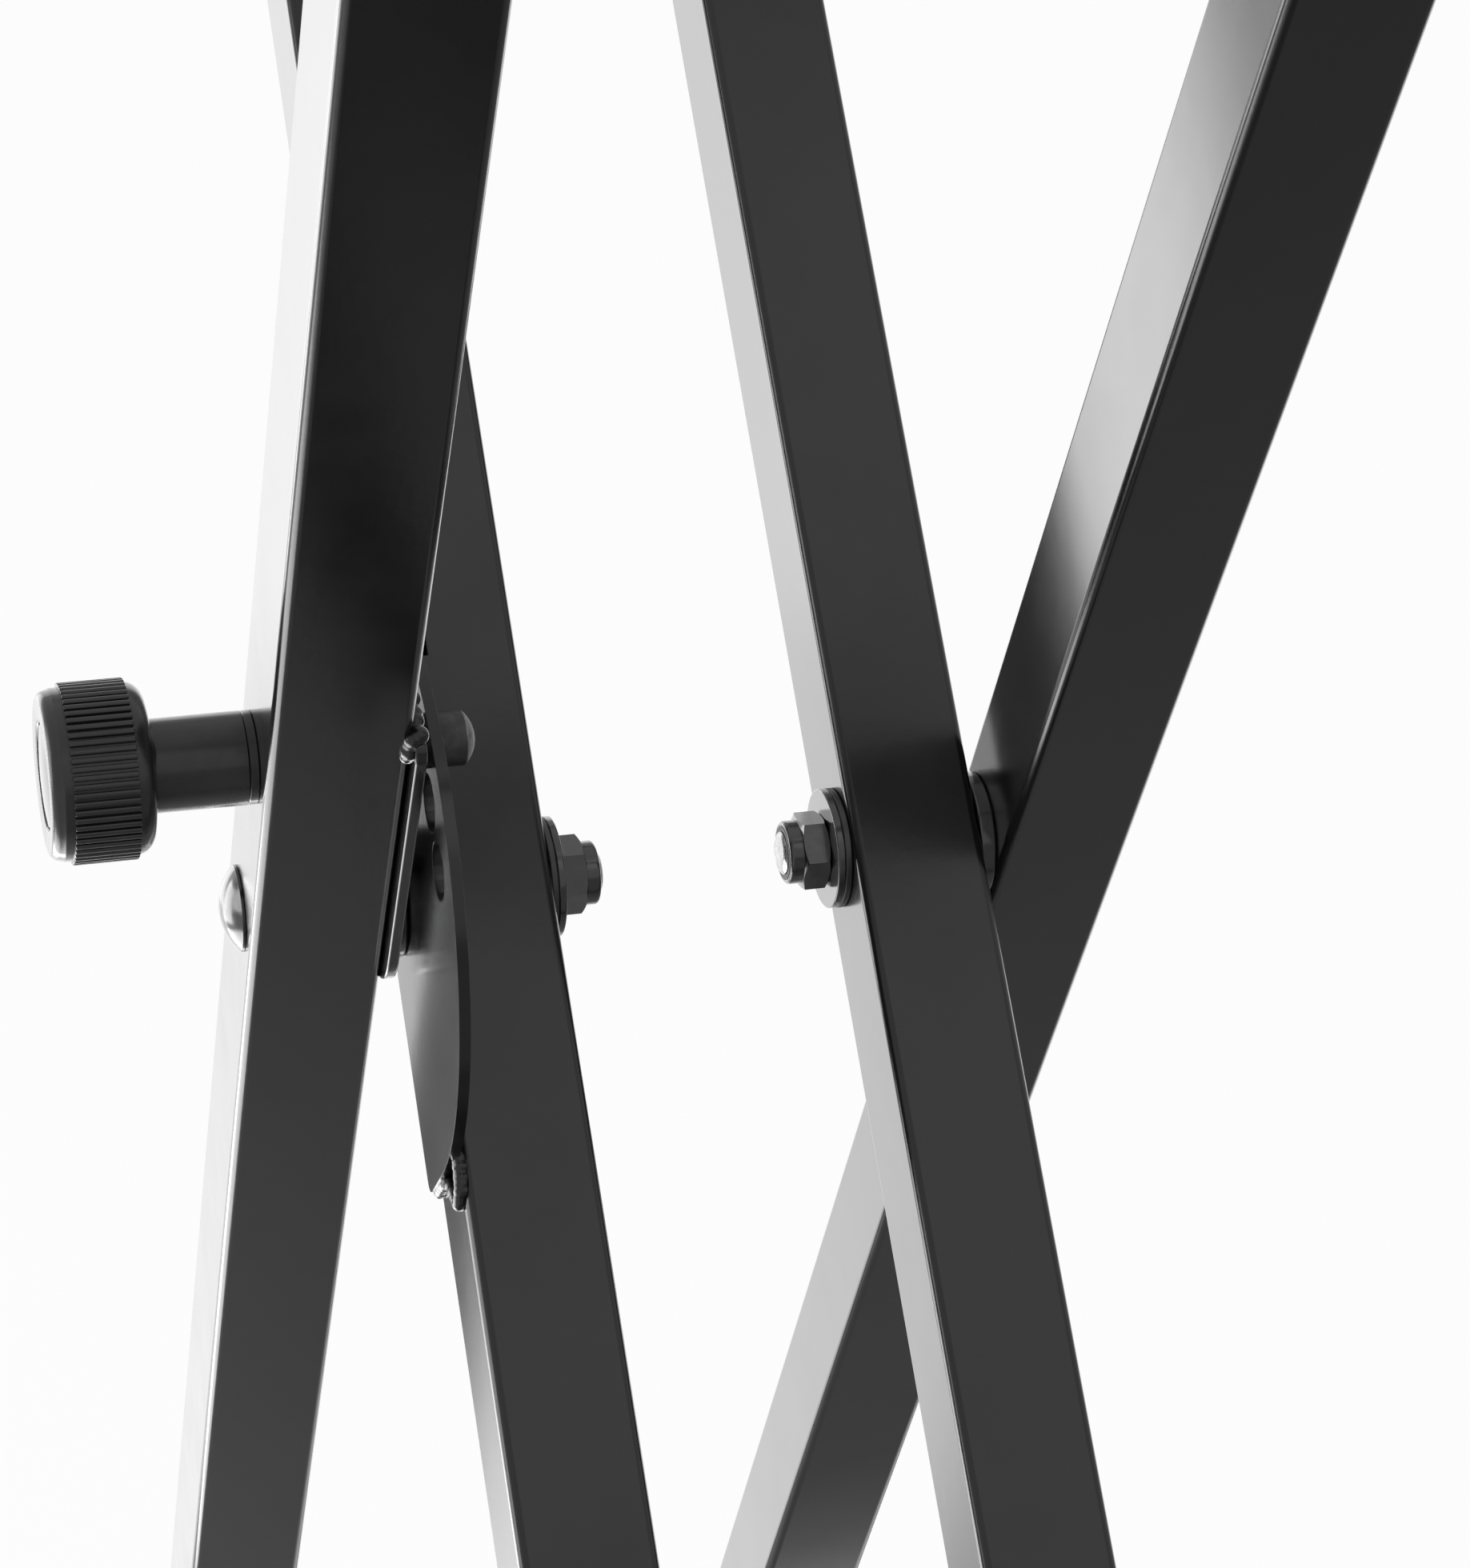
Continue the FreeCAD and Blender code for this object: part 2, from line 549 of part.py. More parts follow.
def make_bars(side, frame, leg_depths):
    """The top arm and foot bar of one frame, with their plugs and screws."""
    arm = cross_bar(f"{side}_top_arm", ARM_LENGTH, leg_depths)
    put(arm, frame.place(0, BAR_REACH))
    foot = cross_bar(f"{side}_foot_bar", FOOT_LENGTH, leg_depths)
    put(foot, frame.place(0, -BAR_REACH))

    insert = leg_insert(f"{side}_insert_pattern")
    tops = [frame.place(depth, LEG_HALF) for depth in leg_depths]
    bottoms = [frame.place(depth, -LEG_HALF, HALF_TURN_LEVEL) for depth in leg_depths]
    put_group(f"{side}_leg_inserts", insert, tops + bottoms)

    screw = button_screw(f"{side}_screw_pattern")
    seat = LEG_HALF + TUBE_WIDTH
    tops = [frame.place(depth, seat) for depth in leg_depths]
    bottoms = [frame.place(depth, -seat, HALF_TURN_LEVEL) for depth in leg_depths]
    put_group(f"{side}_arm_bolts", screw, tops)
    put_group(f"{side}_foot_bolts", screw, bottoms)


# ---------------------------------------------------------------- rubber parts


def rubber_cap(name, wall, corner, cover, end, grooves):
    """A closed rubber sleeve for a tube's front end, with grooves round it.

    The tube's end is at the origin and the tube runs towards +Y.
    """
    piece = Piece(name)
    width = TUBE_WIDTH + wall * 2
    sketch = piece.sketch(FRONT_PLANE, end)
    rounded_rectangle(sketch, width, width, corner)
    piece.pad(sketch, cover + end, reverse=True)
    piece.round_edges(lies_at_depth(-end), RUBBER_EDGE)
    sketch = piece.sketch(FRONT_PLANE)
    # the bore's corners are sharper than the tube's, so rubber and tube touch on the flats alone
    rounded_rectangle(sketch, TUBE_WIDTH, TUBE_WIDTH, TUBE_INNER_CORNER)
    piece.pocket(sketch)
    sketch = piece.sketch(FRONT_PLANE, -GROOVE_START)
    root = width - GROOVE_DEPTH * 2
    rounded_rectangle(sketch, width * 2, width * 2, corner)
    rounded_rectangle(sketch, root, root, corner - GROOVE_DEPTH)
    groove = piece.pocket(sketch, GROOVE_WIDTH)
    piece.linear_pattern(groove, "Y_Axis", GROOVE_PITCH * (grooves - 1), grooves)
    return piece


def arm_sleeve(name):
    return rubber_cap(name, SLEEVE_WALL, SLEEVE_CORNER, SLEEVE_COVER, SLEEVE_END, SLEEVE_GROOVES)


def foot_boot(name):
    return rubber_cap(name, BOOT_WALL, BOOT_CORNER, BOOT_COVER, BOOT_END, BOOT_GROOVES)


def make_rubber(side, frame):
    """The two arm sleeves and two foot boots of one frame."""
    for make, kind, half, along in (
        (arm_sleeve, "arm_{}_sleeve", ARM_LENGTH / 2, BAR_REACH),
        (foot_boot, "foot_{}_boot", FOOT_LENGTH / 2, -BAR_REACH),
    ):
        front = make(f"{side}_" + kind.format("front"))
        put(front, frame.place(-half, along))
        rear = make(f"{side}_" + kind.format("rear"))
        put(rear, frame.place(half, along, HALF_TURN_UPRIGHT))


# ---------------------------------------------------------------- plates


def bead_profile(sketch, x, y, across, up):
    """A weld bead's quarter-round section in the corner at x, y. across and up are 1 or -1."""
    x, y = size_of(x), size_of(y)
    turn = WELD_SIZE if across * up > 0 else -WELD_SIZE
    outline(sketch, [
        (x, y), (x + WELD_SIZE * across, y, turn), (x, y + WELD_SIZE * up),
    ])


def make_lock_plate():
    """The D shaped plate: back face at the origin on the leg, pivot axis through the origin."""
    piece = Piece("lock_plate")
    centre, radius = LOCK_RIM_OFFSET, LOCK_RIM_RADIUS
    sketch = piece.sketch(FRONT_PLANE)
    outline(sketch, [
        (-TUBE_HALF, -radius), (centre, -radius, radius), (centre + radius, 0, radius),
        (centre, radius), (-TUBE_HALF, radius),
    ])
    piece.pad(sketch, PLATE_THICKNESS)
    piece.round_edges(is_far_corner, LOCK_PLATE_CORNER)
    piece.round_edges(lies_at_depth(-PLATE_THICKNESS), RIM_ROUNDING)

    sketch = piece.sketch(FRONT_PLANE)
    circle(sketch, 0, 0, BUSH_DIAMETER)
    piece.pocket(sketch, both_ways=True)

    # from the lowest setting's hole, the pattern climbs one lock step at a time
    lowest = REST_ANGLE + LOCK_STEP * LOWER_HOLES
    sketch = piece.sketch(FRONT_PLANE)
    spot = LOCK_CIRCLE_RADIUS * sine(lowest), LOCK_CIRCLE_RADIUS * cosine(lowest)
    circle(sketch, *spot, LOCK_HOLE_DIAMETER)
    hole = piece.pocket(sketch, both_ways=True)
    steps = LOWER_HOLES + UPPER_HOLES
    piece.polar_pattern(hole, "Y_Axis", LOCK_STEP * steps, steps + 1, reverse=True)

    bead = TUBE_WIDTH - WELD_INSET * 2
    for up in (-1, 1):
        sketch = piece.sketch(SIDE_PLANE)
        bead_profile(sketch, 0, radius * up, -1, up)
        piece.pad(sketch, bead, both_ways=True)
    put(piece, INNER.place(INNER_FRONT_FACE))


def is_far_corner(edge):
    """Picks the lock plate's two corner edges, which run along Y at the leg's far side."""
    ends = edge.Vertexes
    return len(ends) == 2 and all(abs(v.X + TUBE_HALF.value) < 1e-6 for v in ends) and abs(
        ends[0].Z - ends[1].Z) < 1e-6


def make_guide_plate():
    """The narrow plate behind the front outer leg: front face at the origin on the leg."""
    piece = Piece("guide_plate")
    half, corner = GUIDE_WIDTH / 2, GUIDE_CORNER
    sketch = piece.sketch(FRONT_PLANE)
    outline(sketch, [
        (0, -half, half), (half, 0), (half, GUIDE_TOP - corner, corner),
        (half - corner, GUIDE_TOP), (corner - half, GUIDE_TOP, corner),
        (-half, GUIDE_TOP - corner), (-half, 0, half),
    ])
    circle(sketch, 0, 0, BOLT_DIAMETER + SEAT_PLAY * 2)
    circle(sketch, 0, LOCK_CIRCLE_RADIUS, PIN_DIAMETER + PIN_PLAY * 2)
    piece.pad(sketch, PLATE_THICKNESS, reverse=True)

    # beads in the corners between the leg's two sides and the plate, at the plate's top end
    length = LOCK_HOLE_DIAMETER
    for across in (-1, 1):
        sketch = piece.sketch(TOP_PLANE, GUIDE_TOP - corner - length)
        bead_profile(sketch, TUBE_HALF * across, 0, across, -1)
        piece.pad(sketch, length)
    put(piece, OUTER.place(OUTER_FRONT_FACE + TUBE_WIDTH))


# ---------------------------------------------------------------- pivots


def ring(name, outside, inside, thickness):
    """A washer or bush about Y, from the origin towards +Y."""
    piece = Piece(name)
    sketch = piece.sketch(FRONT_PLANE)
    circle(sketch, 0, 0, outside)
    circle(sketch, 0, 0, inside)
    piece.pad(sketch, thickness, reverse=True)
    return piece


def pivot_bolt(name, clamp):
    """A domed head bolt along Y: head in front of the origin, nut seat at clamp."""
    piece = Piece(name)
    shank, head = BOLT_DIAMETER / 2, BOLT_HEAD_DIAMETER / 2
    length = clamp + NUT_HEIGHT + BOLT_END
    dome = sphere_radius(head, BOLT_HEAD_HEIGHT - BOLT_HEAD_RIM)
    sketch = piece.sketch(TOP_PLANE)
    outline(sketch, [
        (0, -BOLT_HEAD_HEIGHT, dome), (head, -BOLT_HEAD_RIM), (head, 0), (shank, 0),
        (shank, length - BOLT_END), (shank - BOLT_END / 2, length), (0, length),
    ])
    piece.revolve(sketch)
    sketch = piece.sketch(FRONT_PLANE)
    rectangle(sketch, -shank, -shank, shank, shank)
    piece.pad(sketch, BOLT_NECK, reverse=True)
    return piece


def hexagon_nut(name, width, height, collar, collar_diameter, bore):
    """A nut along Y with its seat at the origin, and a round collar at its far end."""
    piece = Piece(name)
    sketch = piece.sketch(FRONT_PLANE)
    hexagon(sketch, width)
    circle(sketch, 0, 0, bore)
    piece.pad(sketch, height - collar, reverse=True)
    # a cone at each end takes the corners off the hexagon
    corner = width / math.sqrt(3)
    chamfer = corner - width / 2
    far = height - collar
    for face, inwards in ((size_of(0), 1), (far, -1)):
        sketch = piece.sketch(TOP_PLANE)
        outside = corner + chamfer
        outline(sketch, [
            (corner - chamfer, face), (outside, face + chamfer * inwards), (outside, face),
        ])
        piece.revolve(sketch, "Groove")
    if collar.value > 0:
        sketch = piece.sketch(FRONT_PLANE, -far)
        circle(sketch, 0, 0, collar_diameter)
        circle(sketch, 0, 0, bore)
        piece.pad(sketch, collar, reverse=True)
    return piece


def lock_nut(name):
    piece = hexagon_nut(name, NUT_WIDTH, NUT_HEIGHT, NUT_COLLAR, NUT_COLLAR_DIAMETER, BOLT_DIAMETER)
    piece.round_edges(is_collar_rim, BOLT_END)
    sketch = piece.sketch(FRONT_PLANE, -NUT_HEIGHT)
    circle(sketch, 0, 0, NUT_RING_DIAMETER)
    piece.pocket(sketch, NUT_RING_HEIGHT, reverse=True)
    return piece


def is_collar_rim(edge):
    """Picks the outer rim at the far end of the lock nut's collar."""
    reach = edge.BoundBox
    return abs(reach.YMin - NUT_HEIGHT.value) < 1e-6 and abs(
        reach.XLength - NUT_COLLAR_DIAMETER.value) < 1e-6


def make_pivots():
    """Bolts, spacers, washers and nuts, which stay with the outer frame, and the inner bushes."""
    front_head = OUTER_FRONT_FACE
    rear_head = OUTER_REAR_FACE + TUBE_WIDTH
    put(pivot_bolt("front_pivot_bolt", FRONT_CLAMP), OUTER.place(front_head))
    put(pivot_bolt("rear_pivot_bolt", REAR_CLAMP), OUTER.place(rear_head, turn=HALF_TURN_UPRIGHT))

    hole = BOLT_DIAMETER + SEAT_PLAY * 2
    spacer = ring("front_pivot_spacer", SPACER_DIAMETER, hole, FRONT_SPACER)
    put(spacer, OUTER.place(OUTER_FRONT_FACE + TUBE_WIDTH + PLATE_THICKNESS))
    spacer = ring("rear_pivot_spacer", SPACER_DIAMETER, hole, REAR_SPACER)
    put(spacer, OUTER.place(OUTER_REAR_FACE, turn=HALF_TURN_UPRIGHT))

    # each layer under a nut, measured back from the head of its bolt
    nut = lock_nut("nut_pattern")
    nylon = ring("nylon_ring_pattern", NUT_RING_DIAMETER, BOLT_DIAMETER, NUT_RING_HEIGHT)
    slide = ring("slide_washer_pattern", WASHER_DIAMETER, hole, SLIDE_WASHER)
    clamp = ring("clamp_washer_pattern", WASHER_DIAMETER, hole, CLAMP_WASHER)
    for name, pattern, back in (
        ("pivot_slide_washers", slide, -(CLAMP_WASHER + SLIDE_WASHER)),
        ("pivot_clamp_washers", clamp, -CLAMP_WASHER),
        ("pivot_lock_nuts", nut, size_of(0)),
        ("lock_nut_rings", nylon, NUT_HEIGHT - NUT_RING_HEIGHT),
    ):
        put_group(name, pattern, [
            OUTER.place(front_head + FRONT_CLAMP + back),
            OUTER.place(rear_head - REAR_CLAMP - back, turn=HALF_TURN_UPRIGHT),
        ])

    bore = BOLT_DIAMETER + BUSH_PLAY * 2
    bush = ring("front_pivot_bush", BUSH_DIAMETER, bore, TUBE_WIDTH + PLATE_THICKNESS)
    put(bush, INNER.place(INNER_FRONT_FACE - PLATE_THICKNESS))
    bush = ring("rear_pivot_bush", BUSH_DIAMETER, bore, TUBE_WIDTH)
    put(bush, INNER.place(INNER_REAR_FACE))


# ---------------------------------------------------------------- locking plunger
# The plunger's pieces have their origin on the pin's axis, at the leg's front face.


def put_on_pin(piece, depth=0):
    put(piece, OUTER.place(OUTER_FRONT_FACE + depth, LOCK_CIRCLE_RADIUS))


def make_housing():
    """The turned bush in the leg's front wall: flange outside, barrel inside the knob's neck."""
    piece = Piece("plunger_housing")
    bore, barrel = PIN_DIAMETER / 2 + PIN_PLAY, HOUSING_DIAMETER / 2
    flange = NECK_DIAMETER / 2
    sketch = piece.sketch(TOP_PLANE)
    outline(sketch, [
        (bore, -HOUSING_REACH), (barrel, -HOUSING_REACH), (barrel, -HOUSING_FLANGE),
        (flange, -HOUSING_FLANGE), (flange, 0), (barrel, 0),
        (barrel, HOUSING_INSIDE), (bore, HOUSING_INSIDE),
    ])
    piece.revolve(sketch)
    put_on_pin(piece)


def make_pin():
    """The locking pin: domed tip at the rear, thread for the knob at the front."""
    piece = Piece("plunger_pin")
    pin, stud = PIN_DIAMETER / 2, STUD_DIAMETER / 2
    front = WEB_FRONT + KNOB_NUT_HEIGHT
    dome = sphere_radius(pin, PIN_DOME)
    sketch = piece.sketch(TOP_PLANE)
    outline(sketch, [
        (0, -front), (stud - STUD_CHAMFER, -front), (stud, STUD_CHAMFER - front),
        (stud, -WEB_BACK), (pin, -WEB_BACK), (pin, PIN_TIP - PIN_DOME, dome), (0, PIN_TIP),
    ])
    piece.revolve(sketch)
    put_on_pin(piece)


def make_knob():
    """The moulded knob: ribbed grip, hollow neck round the barrel, nut pocket and cap seat."""
    piece = Piece("plunger_knob")
    body, neck = KNOB_DIAMETER / 2, NECK_DIAMETER / 2
    bore = HOUSING_DIAMETER / 2 + NECK_PLAY
    pocket = KNOB_NUT_WIDTH / math.sqrt(3) + NUT_POCKET_PLAY
    stud, cap = STUD_DIAMETER / 2, CAP_DIAMETER / 2
    front, back = -KNOB_FRONT, -KNOB_BACK
    sketch = piece.sketch(TOP_PLANE)
    outline(sketch, [
        (bore, -HOUSING_FLANGE), (bore, -WEB_BACK), (stud, -WEB_BACK), (stud, -WEB_FRONT),
        (pocket, -WEB_FRONT), (pocket, front + CAP_DEPTH), (cap, front + CAP_DEPTH), (cap, front),
        (body - KNOB_EDGE, front, KNOB_EDGE), (body, front + KNOB_EDGE),
        (body, back - KNOB_SHOULDER, KNOB_SHOULDER), (body - KNOB_SHOULDER, back),
        (neck + KNOB_ROOT, back, -KNOB_ROOT), (neck, back + KNOB_ROOT), (neck, -HOUSING_FLANGE),
    ])
    piece.revolve(sketch)

    # a band round the body, cut by one groove per rib
    outside, band = body + RIB_HEIGHT, RIB_BAND_FRONT - RIB_BAND_BACK
    sketch = piece.sketch(FRONT_PLANE, RIB_BAND_FRONT)
    circle(sketch, 0, 0, outside * 2)
    circle(sketch, 0, 0, (pocket + body))
    piece.pad(sketch, band, reverse=True)
    mouth = outside * (2 * math.pi) / RIB_COUNT * RIB_SHARE / 2
    sketch = piece.sketch(FRONT_PLANE, RIB_BAND_FRONT)
    outline(sketch, [
        (mouth / 2, body), (mouth, outside + RIB_HEIGHT),
        (-mouth, outside + RIB_HEIGHT), (-mouth / 2, body),
    ])
    groove = piece.pocket(sketch, band)
    piece.polar_pattern(groove, "Y_Axis", 360, RIB_COUNT)
    put_on_pin(piece)


def make_cap():
    """The round cap in the knob's front face, slightly domed."""
    piece = Piece("plunger_knob_cap")
    rim = CAP_DIAMETER / 2
    seat = CAP_DEPTH - KNOB_FRONT
    front = -KNOB_FRONT
    sketch = piece.sketch(TOP_PLANE)
    outline(sketch, [
        (0, front - CAP_DOME, sphere_radius(rim, CAP_DOME)), (rim, front), (rim, seat), (0, seat),
    ])
    piece.revolve(sketch)
    put_on_pin(piece)


def make_knob_nut():
    nut = hexagon_nut(
        "plunger_knob_nut", KNOB_NUT_WIDTH, KNOB_NUT_HEIGHT, size_of(0), size_of(0), STUD_DIAMETER)
    put(nut, OUTER.place(OUTER_FRONT_FACE - WEB_FRONT, LOCK_CIRCLE_RADIUS, HALF_TURN_UPRIGHT))


def make_stop():
    """The collar on the pin that rests against the leg's back wall and takes the spring."""
    piece = ring("plunger_collar", STOP_DIAMETER, PIN_DIAMETER, STOP_THICKNESS)
    put_on_pin(piece, TUBE_WIDTH - TUBE_WALL - STOP_THICKNESS)


def biarc(start, leaving, end, arriving):
    """Two arcs that join smoothly, from one point and direction to another of equal slope."""
    chord = end - start
    spread = 2 * (1 - leaving.dot(arriving))
    along = chord.dot(leaving + arriving)
    reach = (math.sqrt(along ** 2 + spread * chord.dot(chord)) - along) / spread
    joint = (start + end + (leaving - arriving) * reach) / 2
    arcs = []
    for a, b, corner in ((start, joint, start + leaving * reach), (joint, end, end - arriving * reach)):
        middle = (a + b) / 2
        half = (b - a).Length / 2
        lean = math.acos(half / (corner - a).Length)
        sagitta = half * math.tan(lean / 2)
        top = middle + (corner - middle).normalize() * sagitta
        arcs.append(Part.Arc(a, top, b).toShape())
    return arcs


def make_spring():
    """The compression spring round the pin, from the housing's end to the stop collar."""
    wire = SPRING_WIRE.value
    coil = SPRING_DIAMETER.value / 2
    turns = SPRING_TURNS.value
    first = HOUSING_INSIDE.value + wire / 2
    last = TUBE_WIDTH.value - TUBE_WALL.value - STOP_THICKNESS.value - wire / 2
    pitch = (last - first) / turns
    slope = pitch / (2 * math.pi)

    def on_coil(turned):
        angle = 2 * math.pi * turned
        point = Vector(coil * math.cos(angle), first + pitch * turned, coil * math.sin(angle))
        heading = Vector(-coil * math.sin(angle), slope, coil * math.cos(angle)).normalize()
        return point, heading

    quarters = round(turns * 4)
    stops = [on_coil(turns * i / quarters) for i in range(quarters + 1)]
    arcs = []
    for (start, leaving), (end, arriving) in zip(stops, stops[1:]):
        arcs += biarc(start, leaving, end, arriving)
    section = Part.Wire([Part.Circle(stops[0][0], stops[0][1], wire / 2).toShape()])
    spring = doc.addObject("Part::Feature", "plunger_spring")
    spring.Label = "plunger_spring"
    spring.Shape = Part.Wire(arcs).makePipeShell([section], True, False)
    spring.setExpression("Placement", OUTER.place(OUTER_FRONT_FACE, LOCK_CIRCLE_RADIUS))
    parts.append(spring)
    print(f"spring: least gap between its turns {pitch - wire:.2f} mm")


# ---------------------------------------------------------------- the whole stand

make_outer_legs()
make_inner_legs()
make_bars("outer", OUTER, (OUTER_FRONT_MIDDLE, OUTER_REAR_MIDDLE))
make_bars("inner", INNER, (INNER_FRONT_MIDDLE, INNER_REAR_MIDDLE))
make_rubber("outer", OUTER)
make_rubber("inner", INNER)
make_lock_plate()
make_guide_plate()
make_pivots()
make_housing()
make_pin()
make_knob()
make_cap()
make_knob_nut()
make_stop()
make_spring()
doc.recompute()


# ---------------------------------------------------------------- checks and files


def check_model():
    """Stops on a failed feature, a cut that takes nothing away, or a part that isn't sound."""
    for thing in doc.Objects:
        if {"Invalid", "Error"} & set(thing.State):
            raise RuntimeError(f"{thing.Label} failed: {thing.State}")
        if thing.TypeId in ("PartDesign::Pocket", "PartDesign::Groove"):
            taken = thing.BaseFeature.Shape.Volume - thing.Shape.Volume
            if taken < 1e-3:
                raise RuntimeError(f"{thing.Label} cuts nothing")
    for part in parts:
        if part.Shape.isNull() or not part.Shape.isValid() or not part.Shape.Solids:
            raise RuntimeError(f"{part.Label} has no sound shape")


check_model()
os.makedirs("parts", exist_ok=True)
for part in parts:
    part.Shape.exportStep(f"parts/{part.Label}.step")
print(f"{len(parts)} parts written, pivot axis {PIVOT_HEIGHT.value:.3f} mm above the floor")
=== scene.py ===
import json
import math

import bmesh
import bpy
from mathutils import Matrix, Vector


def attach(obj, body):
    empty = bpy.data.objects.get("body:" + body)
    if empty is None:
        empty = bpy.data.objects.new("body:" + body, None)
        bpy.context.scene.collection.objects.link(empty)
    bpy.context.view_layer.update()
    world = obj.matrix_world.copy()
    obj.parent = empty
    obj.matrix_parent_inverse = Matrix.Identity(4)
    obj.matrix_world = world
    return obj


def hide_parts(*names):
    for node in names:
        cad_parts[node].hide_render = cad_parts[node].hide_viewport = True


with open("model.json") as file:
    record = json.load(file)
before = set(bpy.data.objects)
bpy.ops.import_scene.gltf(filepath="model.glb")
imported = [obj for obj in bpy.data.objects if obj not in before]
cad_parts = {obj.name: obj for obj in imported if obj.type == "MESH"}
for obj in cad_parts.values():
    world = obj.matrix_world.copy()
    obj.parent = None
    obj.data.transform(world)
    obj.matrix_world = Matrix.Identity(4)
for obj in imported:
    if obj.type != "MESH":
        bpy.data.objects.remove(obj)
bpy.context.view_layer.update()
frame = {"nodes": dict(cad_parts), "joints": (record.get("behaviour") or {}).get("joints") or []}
nodes = frame["nodes"]

# ------------------------------------------------------------------ sizes
#
# Lengths are in metres and angles in radians. Round things go by their radius.

MM = 0.001
LEAN = math.radians(36.25)
PIVOT = Vector(frame["joints"][0]["pos_m"])

TUBE = 30 * MM
TUBE_CORNER = 2.3 * MM
TUBE_WALL = 1.5 * MM
LEG_LENGTH = 950 * MM
ARM_LENGTH = 369.9 * MM
FOOT_LENGTH = 449.9 * MM
BAR_REACH = 490 * MM

# front faces of the four legs, in depth
OUTER_FRONT = -100.45 * MM
INNER_FRONT = -62.65 * MM
INNER_REAR = 36.75 * MM
OUTER_REAR = 70.45 * MM

PLATE = 2.5 * MM
LOCK_CIRCLE = 57 * MM
LOCK_RIM = 66 * MM
LOCK_RIM_OFFSET = 5 * MM
LOCK_HOLE = 6.5 * MM
LOCK_STEP = 15
STORAGE_HOLE_ANGLE = 12.5
LOCK_ANGLES = [math.radians(STORAGE_HOLE_ANGLE + LOCK_STEP * step) for step in range(7)]
PIN = 6 * MM

ROUND = 96  # sides of a turned form
SMOOTH_ANGLE = 35  # edges sharper than this, in degrees, stay sharp
LEANS = {"outer": LEAN, "inner": -LEAN}


# ------------------------------------------------------------------ working at the mesh


def alone(piece):
    """Makes a piece the only selected one, and the active one."""
    bpy.ops.object.select_all(action="DESELECT")
    piece.select_set(True)
    bpy.context.view_layer.objects.active = piece


def begin(name):
    """Names the primitive that was just added and opens it for editing, all selected."""
    piece = bpy.context.object
    piece.name = name
    piece.data.name = name
    alone(piece)
    bpy.ops.object.transform_apply(location=True, rotation=True, scale=True)
    bpy.ops.object.mode_set(mode="EDIT")
    bpy.ops.mesh.select_all(action="SELECT")
    return piece


def pick(kind, chosen):
    """Selects each face, edge or vertex whose middle and normal, or direction, chosen accepts."""
    bpy.ops.mesh.select_all(action="DESELECT")
    bpy.ops.mesh.select_mode(type=kind)
    data = bpy.context.edit_object.data
    mesh = bmesh.from_edit_mesh(data)
    if kind == "FACE":
        for face in mesh.faces:
            face.select_set(chosen(face.calc_center_median(), face.normal))
    elif kind == "EDGE":
        for edge in mesh.edges:
            start, end = (v.co for v in edge.verts)
            edge.select_set(chosen((start + end) / 2, (end - start).normalized()))
    else:
        for vert in mesh.verts:
            vert.select_set(chosen(vert.co, vert.normal))
    mesh.select_flush_mode()
    bmesh.update_edit_mesh(data)


def shade(piece, angle=SMOOTH_ANGLE):
    """Shades a piece smooth, but for its sharp edges."""
    alone(piece)
    bpy.ops.object.shade_smooth_by_angle(angle=math.radians(angle))


def close_up(piece, angle=SMOOTH_ANGLE):
    """Merges doubles, turns the faces outwards and shades the piece."""
    bpy.ops.mesh.select_all(action="SELECT")
    bpy.ops.mesh.remove_doubles(threshold=1e-6)
    bpy.ops.mesh.normals_make_consistent(inside=False)
    bpy.ops.object.mode_set(mode="OBJECT")
    shade(piece, angle)


def finish_with(piece, kind, **settings):
    """Adds a modifier and applies it."""
    alone(piece)
    added = piece.modifiers.new(kind.title(), kind)
    for name, value in settings.items():
        setattr(added, name, value)
    bpy.ops.object.modifier_apply(modifier=added.name)


def soften(piece, width, segments=3, angle=SMOOTH_ANGLE):
    """Rounds every edge that is sharper than angle."""
    finish_with(
        piece, "BEVEL", width=width, segments=segments, limit_method="ANGLE",
        angle_limit=math.radians(angle), miter_outer="MITER_ARC")
    shade(piece, angle)


def cut_away(piece, cutter):
    """Takes the cutter's space out of the piece."""
    finish_with(piece, "BOOLEAN", object=cutter, operation="DIFFERENCE", solver="EXACT")
    bpy.data.objects.remove(cutter)


def join(name, pieces):
    """Makes one piece of several."""
    alone(pieces[0])
    for piece in pieces:
        piece.select_set(True)
    bpy.ops.object.join()
    pieces[0].name = name
    return pieces[0]


def copy_of(piece):
    """A copy with its own mesh."""
    made = piece.copy()
    made.data = piece.data.copy()
    bpy.context.scene.collection.objects.link(made)
    return made


def move(piece, matrix):
    """Moves the piece's mesh and leaves its object at the origin."""
    alone(piece)
    piece.matrix_world = matrix @ piece.matrix_world
    bpy.ops.object.transform_apply(location=True, rotation=True, scale=True)


def seat(piece, side, depth=0.0, along=0.0, turned_back=False):
    """Takes a piece from its leg's own axes to its place.

    The axes are across the leg, in depth, and up along the leg, from the pivot.
    """
    place = Matrix.Translation(PIVOT) @ Matrix.Rotation(LEANS[side], 4, "Y")
    place = place @ Matrix.Translation((0, depth, along))
    if turned_back:
        place = place @ Matrix.Rotation(math.pi, 4, "Z")
    move(piece, place)


def fit(piece, body, slot, material, *replaced):
    """Dresses a finished piece and fixes it to its body."""
    # flat faces stay flat beside their rounded edges
    finish_with(piece, "WEIGHTED_NORMAL", weight=80, keep_sharp=True)
    piece.data.materials.clear()
    piece.data.materials.append(material)
    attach(piece, body)
    if replaced:
        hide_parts(*replaced)


# ------------------------------------------------------------------ forms that repeat


def round_loop(radius, depth):
    """A round loop, square to Y."""
    bpy.ops.object.select_all(action="DESELECT")
    bpy.ops.mesh.primitive_circle_add(
        vertices=ROUND, radius=radius, location=(0, depth, 0), rotation=(math.pi / 2, 0, 0))


